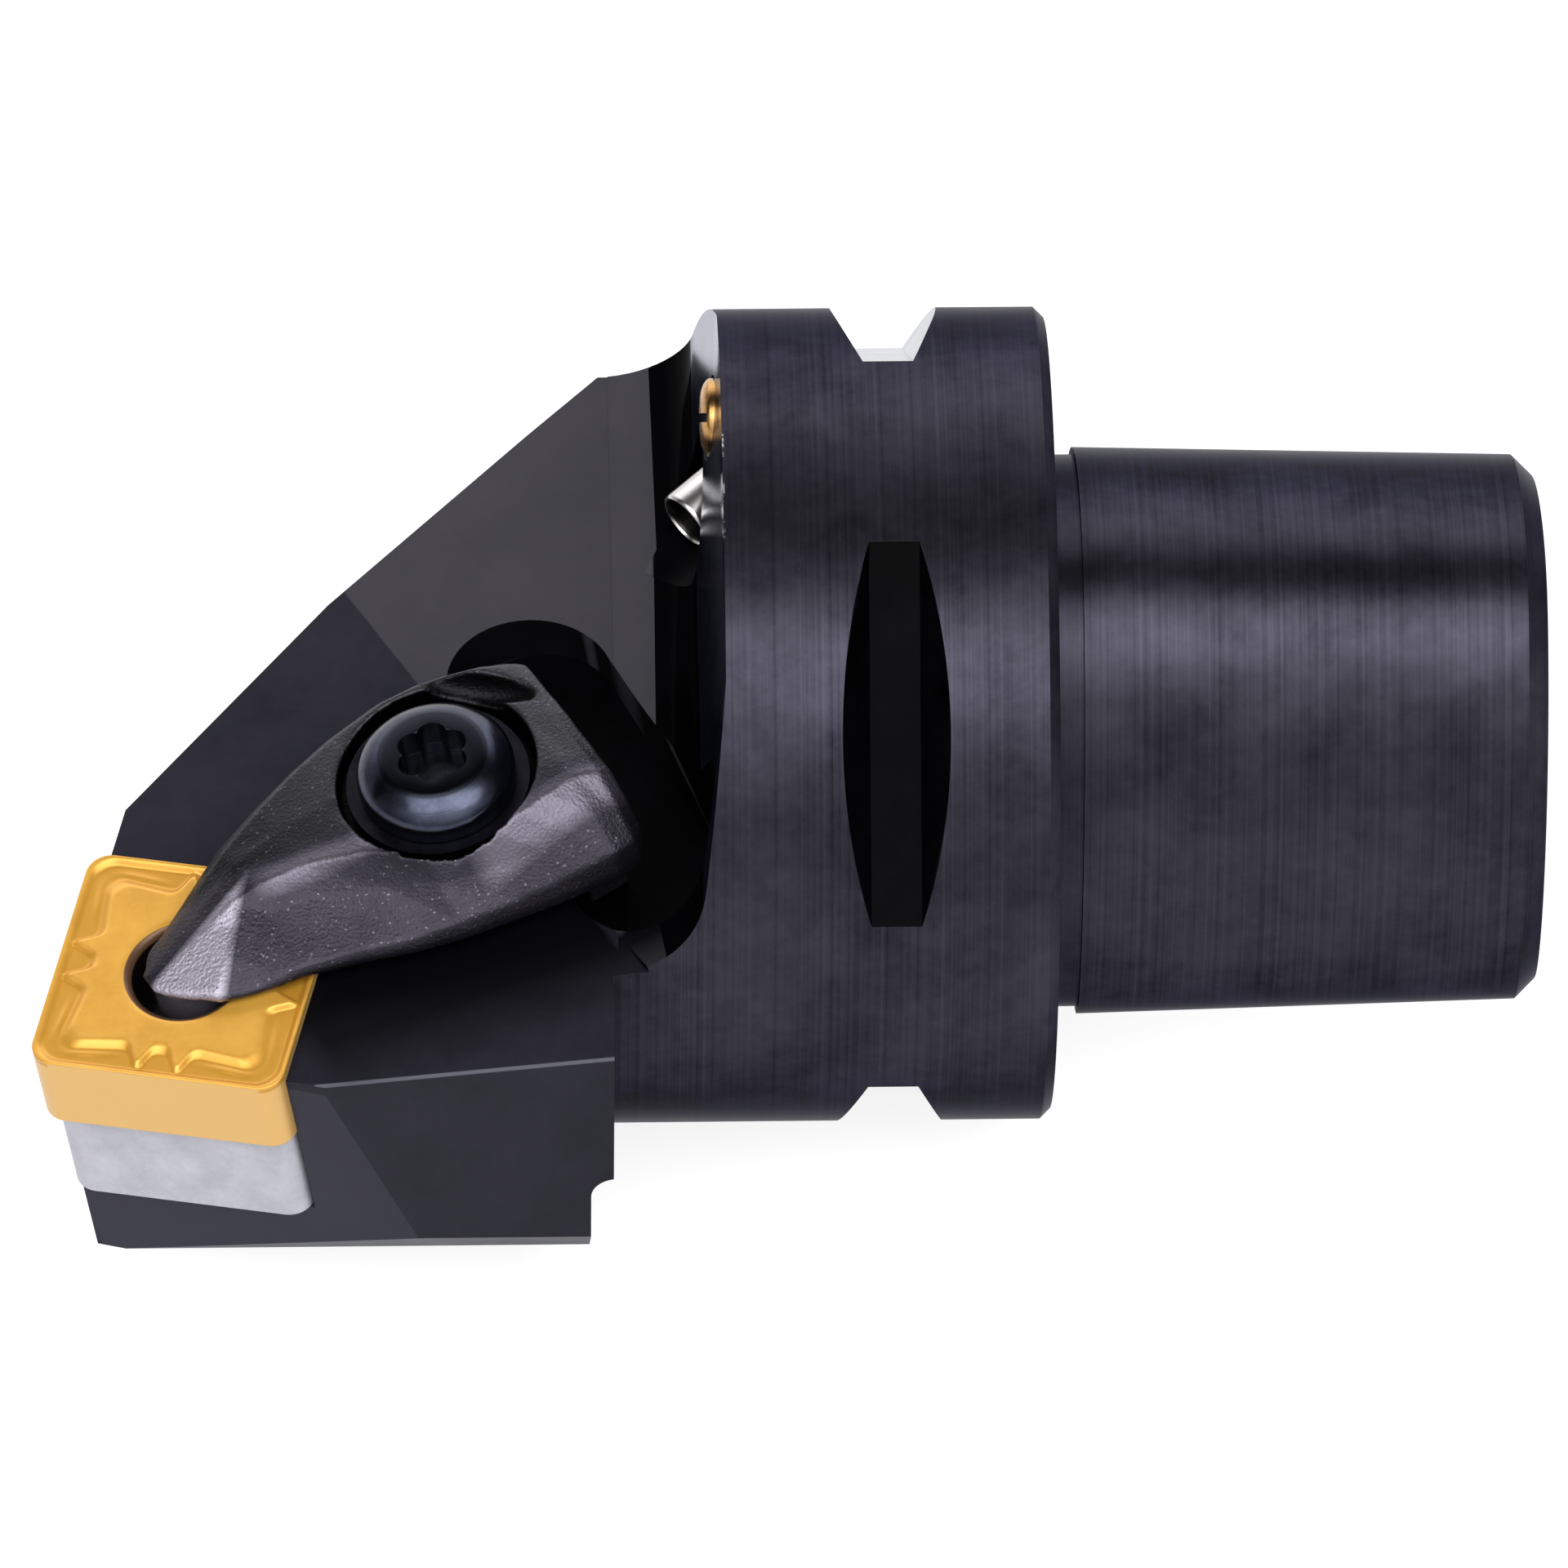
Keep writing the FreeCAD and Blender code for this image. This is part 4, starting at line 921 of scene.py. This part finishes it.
def six_lobes(radius, low, high):
    """Six-lobed driver tool as one closed outline."""
    shape = bmesh.new()
    count = 144
    ridge = 0.79 * radius
    ring = []
    for k in range(count):
        angle = 2 * math.pi * k / count
        reach = ridge + (radius - ridge) * (0.5 + 0.5 * math.cos(6 * angle)) ** 0.4
        ring.append(shape.verts.new((reach * math.cos(angle), reach * math.sin(angle), low)))
    face = shape.faces.new(ring)
    grown = bmesh.ops.extrude_face_region(shape, geom=[face])["geom"]
    tops = [part for part in grown if isinstance(part, bmesh.types.BMVert)]
    bmesh.ops.translate(shape, verts=tops, vec=(0, 0, high - low))
    bmesh.ops.recalc_face_normals(shape, faces=shape.faces)
    return shape


def clamp_bolt():
    """Button head screw with a domed shoulder and a six-lobed recess."""
    lobes = six_lobes(LOBE_RADIUS, LOBE_FLOOR, 7.0)
    shape = carved(spun(BOLT_OUTLINE, 128), [("DIFFERENCE", lobes)])
    # Faces inside the recess take the near-black painted shade of the recess
    for face in shape.faces:
        middle = face.calc_center_median()
        inside = math.hypot(middle.x, middle.y) < LOBE_RADIUS + 0.01 and 4.0 < middle.z < 5.68
        face.material_index = 1 if inside else 0
    piece = mesh_piece("button_head_screw", shape, "clamp_bolt", ["clamp_screw"],
                       place=SCREW)
    piece.data.materials.append(FINISH["screw"])
    piece.data.materials.append(FINISH["recess"])
    add_bevel(piece, 0.05, 2, 40)


def tube():
    """Thin nozzle tube with a bright rolled end and a fine seam."""
    shape = spun(TUBE_OUTLINE, 96)
    for vert in shape.verts:
        radius = math.hypot(vert.co.x, vert.co.y)
        angle = math.atan2(vert.co.y, vert.co.x) % (2 * math.pi)
        if radius > 1.5 and abs(angle - SEAM_TURN) < SEAM_WIDTH:
            vert.co.x *= SEAM_DEPTH
            vert.co.y *= SEAM_DEPTH
    for face in shape.faces:
        middle = face.calc_center_median()
        face.material_index = 1 if math.hypot(middle.x, middle.y) < 1.3 else 0
    piece = mesh_piece("coolant_tube", shape, "nozzle", ["nozzle_tube"], place=NOZZLE, sharp=40)
    piece.data.materials.append(FINISH["bright"])
    piece.data.materials.append(FINISH["inside"])


def plug():
    """Brass plug with a low dome and a driver slot."""
    slot = brick((-2.2, -0.225, 0.5), (2.2, 0.225, 1.5))
    bmesh.ops.rotate(slot, verts=slot.verts, cent=(0, 0, 0),
                     matrix=Matrix.Rotation(PLUG_SLOT_TURN, 3, "Z"))
    shape = carved(spun(PLUG_OUTLINE, 96), [("DIFFERENCE", slot)])
    piece = mesh_piece("brass_plug", shape, "holder", ["coolant_port_plug"], place=PLUG)
    paint(piece, "brass")
    add_bevel(piece, 0.05, 2, 35)


def shim():
    """Carbide shim with softly broken edges."""
    shape = copied_node("insert_shim")
    piece = mesh_piece("carbide_shim", shape, "holder", ["insert_shim"])
    paint(piece, "shim")
    add_bevel(piece, 0.12, 3, 30)


INSERT_STEPS = 384
GROOVE_RINGS = 34
TOOTH_PITCH = 2.0


def rounded_square_reach(angle, half, corner):
    """Distance from the middle of a rounded square to its outline."""
    x, y = abs(math.cos(angle)), abs(math.sin(angle))
    straight = half / max(x, y)
    inner = half - corner
    if min(x, y) * straight <= inner:
        return straight
    along = inner * (x + y)
    return along + math.sqrt(along * along - 2 * inner * inner + corner * corner)


def smooth_step(value, low, high):
    """Soft rise from 0 to 1 between two values."""
    share = min(max((value - low) / (high - low), 0.0), 1.0)
    return share * share * (3 - 2 * share)


def chip_groove(a, b, inset):
    """Height of the insert's top: land, groove, wavy teeth and the raised middle."""
    along = a if abs(b) > abs(a) else b
    side = abs(along)
    bank = 1.95 - 0.13 * max(side - TOOTH_PITCH, 0)
    for centre in (-TOOTH_PITCH / 2, TOOTH_PITCH / 2):
        bank -= 1.15 * math.exp(-abs((along - centre) / 0.42) ** 2)
    fall = smooth_step(inset, 0.12, 0.5)
    rise = smooth_step(inset, bank - 0.55, bank + 0.06)
    height = -0.25 * fall + 0.26 * rise
    rib = math.exp(-((side - 3.6) / 1.0) ** 2 - ((inset - 1.0 + 0.1 * (side - 3.6)) / 0.16) ** 2)
    return height + 0.06 * rib


def insert():
    """Square insert with its moulded chip groove on both faces."""
    half = INSERT_SIDE / 2
    wide = INSERT_HOLE + INSERT_RIM
    shape = bmesh.new()
    made = bmesh.ops.create_circle(shape, cap_ends=False, radius=wide, segments=INSERT_STEPS)
    ring = made["verts"]
    angles = [math.atan2(vert.co.y, vert.co.x) for vert in ring]
    reaches = [rounded_square_reach(angle, half, INSERT_CORNER) for angle in angles]
    turn = list(zip(angles, reaches))

    def next_ring(ring, places):
        loop = set(ring)
        edges = {edge for vert in ring for edge in vert.link_edges if edge.other_vert(vert) in loop}
        grown = bmesh.ops.extrude_edge_only(shape, edges=list(edges))["geom"]
        fresh = [part for part in grown if isinstance(part, bmesh.types.BMVert)]

        def turn_of(vert):
            return math.atan2(vert.co.y, vert.co.x)

        matched = dict(zip(sorted(ring, key=turn_of), sorted(fresh, key=turn_of)))
        for vert, place in zip(ring, places):
            matched[vert].co = place
        return [matched[vert] for vert in ring]

    def ring_at(share, level):
        places = []
        for angle, reach in turn:
            radius = wide + (reach - wide) * share
            a, b = radius * math.cos(angle), radius * math.sin(angle)
            inset = (reach - radius) * max(abs(math.cos(angle)), abs(math.sin(angle)))
            places.append(Vector((a, b, level(a, b, inset))))
        return places

    def bottom(a, b, inset):
        return -INSERT_THICKNESS - chip_groove(a, b, inset)

    rings = [ring]
    shares = [k / 9 * 0.45 for k in range(1, 10)]
    shares += [0.45 + 0.55 * k / GROOVE_RINGS for k in range(1, GROOVE_RINGS + 1)]
    for share in shares:
        rings.append(next_ring(rings[-1], ring_at(share, chip_groove)))
    lower = [Vector((vert.co.x, vert.co.y, -INSERT_THICKNESS)) for vert in rings[-1]]
    rings.append(next_ring(rings[-1], lower))
    for share in reversed([0.0] + shares[:-1]):
        rings.append(next_ring(rings[-1], ring_at(share, bottom)))
    narrow = INSERT_HOLE
    for radius, level in ((wide - 0.13, -INSERT_THICKNESS + 0.05), (narrow + 0.1, -INSERT_THICKNESS + 0.25),
                          (narrow, -INSERT_THICKNESS + 0.5), (narrow, -0.5), (narrow + 0.1, -0.25),
                          (wide - 0.13, -0.05), (wide, 0.0)):
        places = [Vector((radius * math.cos(angle), radius * math.sin(angle), level)) for angle in angles]
        rings.append(next_ring(rings[-1], places))
    bmesh.ops.remove_doubles(shape, verts=shape.verts, dist=0.002)
    bmesh.ops.recalc_face_normals(shape, faces=shape.faces)
    piece = mesh_piece("gold_insert", shape, "holder", ["cutting_insert"], place=SEAT, sharp=55)
    paint(piece, "insert")
    add_bevel(piece, 0.045, 2, 55)


for name, finish in (("shim_screw", "dull"), ("clamp_washer", "washer"), ("clamp_retaining_ring", "dull"),
                     ("clamp_spring", "dull"), ("nozzle_ball", "bright"), ("nozzle_retainer", "dull"),
                     ("nozzle_seal", "rubber")):
    paint(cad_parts[name], finish)
holder()
insert()
shim()
clamp()
clamp_bolt()
tube()
plug()

# Camera of the photograph
CAMERA_PLACE = Vector((-31.91, -570.56, 637.64))
CAMERA_RIGHT = Vector((0.9997, -0.0215, 0.0106))
CAMERA_BACK = Vector((-0.0222, -0.6637, 0.7477))
CAMERA_LENS = 399.1


def camera():
    """Long lens at the photograph's angle."""
    data = bpy.data.cameras.new("camera")
    data.lens = CAMERA_LENS
    data.sensor_width = 36
    data.clip_start = 0.05
    data.clip_end = 10
    made = bpy.data.objects.new("camera", data)
    back = CAMERA_BACK.normalized()
    up = back.cross(CAMERA_RIGHT).normalized()
    right = up.cross(back)
    turn = Matrix((right, up, back)).transposed().to_4x4()
    made.matrix_world = Matrix.Translation(CAMERA_PLACE * MM) @ turn
    bpy.context.scene.collection.objects.link(made)
    bpy.context.scene.camera = made


FLOOR_HEIGHT = -20.6


def white_to_the_eye(tree, shader, strength):
    """Emission that camera and mirror rays see, added to a plain shader."""
    path = node(tree, "ShaderNodeLightPath")
    seen = math_node(tree, "MAXIMUM", path.outputs["Is Camera Ray"], path.outputs["Is Glossy Ray"])
    seen = math_node(tree, "MAXIMUM", seen, path.outputs["Is Transmission Ray"])
    glow = node(tree, "ShaderNodeEmission", {"Color": (1, 1, 1, 1)})
    join(tree, (math_node(tree, "MULTIPLY", seen, strength), glow.inputs["Strength"]))
    both = node(tree, "ShaderNodeAddShader")
    join(tree, (shader.outputs[0], both.inputs[0]), (glow.outputs[0], both.inputs[1]))
    return both


def floor():
    """Plain pale floor that keeps a faint shadow."""
    shape = bmesh.new()
    bmesh.ops.create_grid(shape, x_segments=2, y_segments=2, size=1.5)
    bmesh.ops.translate(shape, verts=shape.verts, vec=(0, 0, FLOOR_HEIGHT * MM))
    made = plain_object("floor", shape)
    paper = bpy.data.materials.new("floor_paper")
    paper.use_nodes = True
    tree = paper.node_tree
    tree.nodes.clear()
    matt = node(tree, "ShaderNodeBsdfDiffuse", {"Color": (0.35, 0.35, 0.35, 1)})
    out = node(tree, "ShaderNodeOutputMaterial")
    both = white_to_the_eye(tree, matt, 0.82)
    join(tree, (both.outputs[0], out.inputs["Surface"]))
    made.data.materials.append(paper)


def softbox(name, place, target, size, power):
    """Large soft lamp."""
    data = bpy.data.lights.new(name, "AREA")
    data.shape = "RECTANGLE"
    data.size, data.size_y = size
    data.energy = power
    made = bpy.data.objects.new(name, data)
    made.location = place
    made.rotation_euler = (Vector(place) - Vector(target)).to_track_quat("Z", "Y").to_euler()
    bpy.context.scene.collection.objects.link(made)


# Brightness of the tent round the tool's axis, by degrees up from the front
TENT = (
    (0, 0.62), (14, 0.85), (26, 1.45), (40, 2.15), (50, 1.75), (66, 1.2), (80, 0.85),
    (92, 0.16), (99, 0.04), (114, 0.04), (124, 0.5), (138, 2.0), (160, 2.3), (180, 1.4),
)
LAMP_ELEVATION = 62
LAMP_DISTANCE = 0.6
LAMP_SIZE = (0.9, 0.34)
LAMP_POWER = 3.6


def studio():
    """Even surroundings with darker bands, as a light tent with gaps between its panels."""
    world = bpy.data.worlds.new("studio")
    bpy.context.scene.world = world
    world.use_nodes = True
    tree = world.node_tree
    tree.nodes.clear()
    place = node(tree, "ShaderNodeTexCoord")
    x, y, z = parts_of(tree, place.outputs["Generated"])
    angle = math_node(tree, "ARCTAN2", z, product(tree, y, -1.0))
    share = math_node(tree, "DIVIDE", angle, math.pi)
    ramp = node(tree, "ShaderNodeValToRGB")
    elements = ramp.color_ramp.elements
    while len(elements) < len(TENT):
        elements.new(0.5)
    for element, (degrees, level) in zip(elements, TENT):
        element.position = degrees / 180
        element.color = (level, level, level * 1.04, 1)
    sideways = math_node(tree, "ABSOLUTE", x)
    open_side = node(tree, "ShaderNodeMapRange",
                     {"From Min": 0.45, "From Max": 0.85, "To Min": 1.0, "To Max": 0.2})
    join(tree, (share, ramp.inputs["Fac"]), (sideways, open_side.inputs["Value"]))
    path = node(tree, "ShaderNodeLightPath")
    tent = node(tree, "ShaderNodeBackground")
    white = node(tree, "ShaderNodeBackground", {"Color": (1, 1, 1, 1), "Strength": 1.0})
    mixed = node(tree, "ShaderNodeMixShader")
    out = node(tree, "ShaderNodeOutputWorld")
    join(tree, (ramp.outputs["Color"], tent.inputs["Color"]),
         (open_side.outputs[0], tent.inputs["Strength"]),
         (path.outputs["Is Camera Ray"], mixed.inputs[0]), (tent.outputs[0], mixed.inputs[1]),
         (white.outputs[0], mixed.inputs[2]), (mixed.outputs[0], out.inputs["Surface"]))
    lamp_angle = math.radians(LAMP_ELEVATION)
    place = (-0.01, -LAMP_DISTANCE * math.cos(lamp_angle), LAMP_DISTANCE * math.sin(lamp_angle))
    softbox("softbox", place, (-0.01, 0, 0), LAMP_SIZE, LAMP_POWER)


camera()
floor()
studio()
bpy.context.scene.view_settings.view_transform = "Standard"
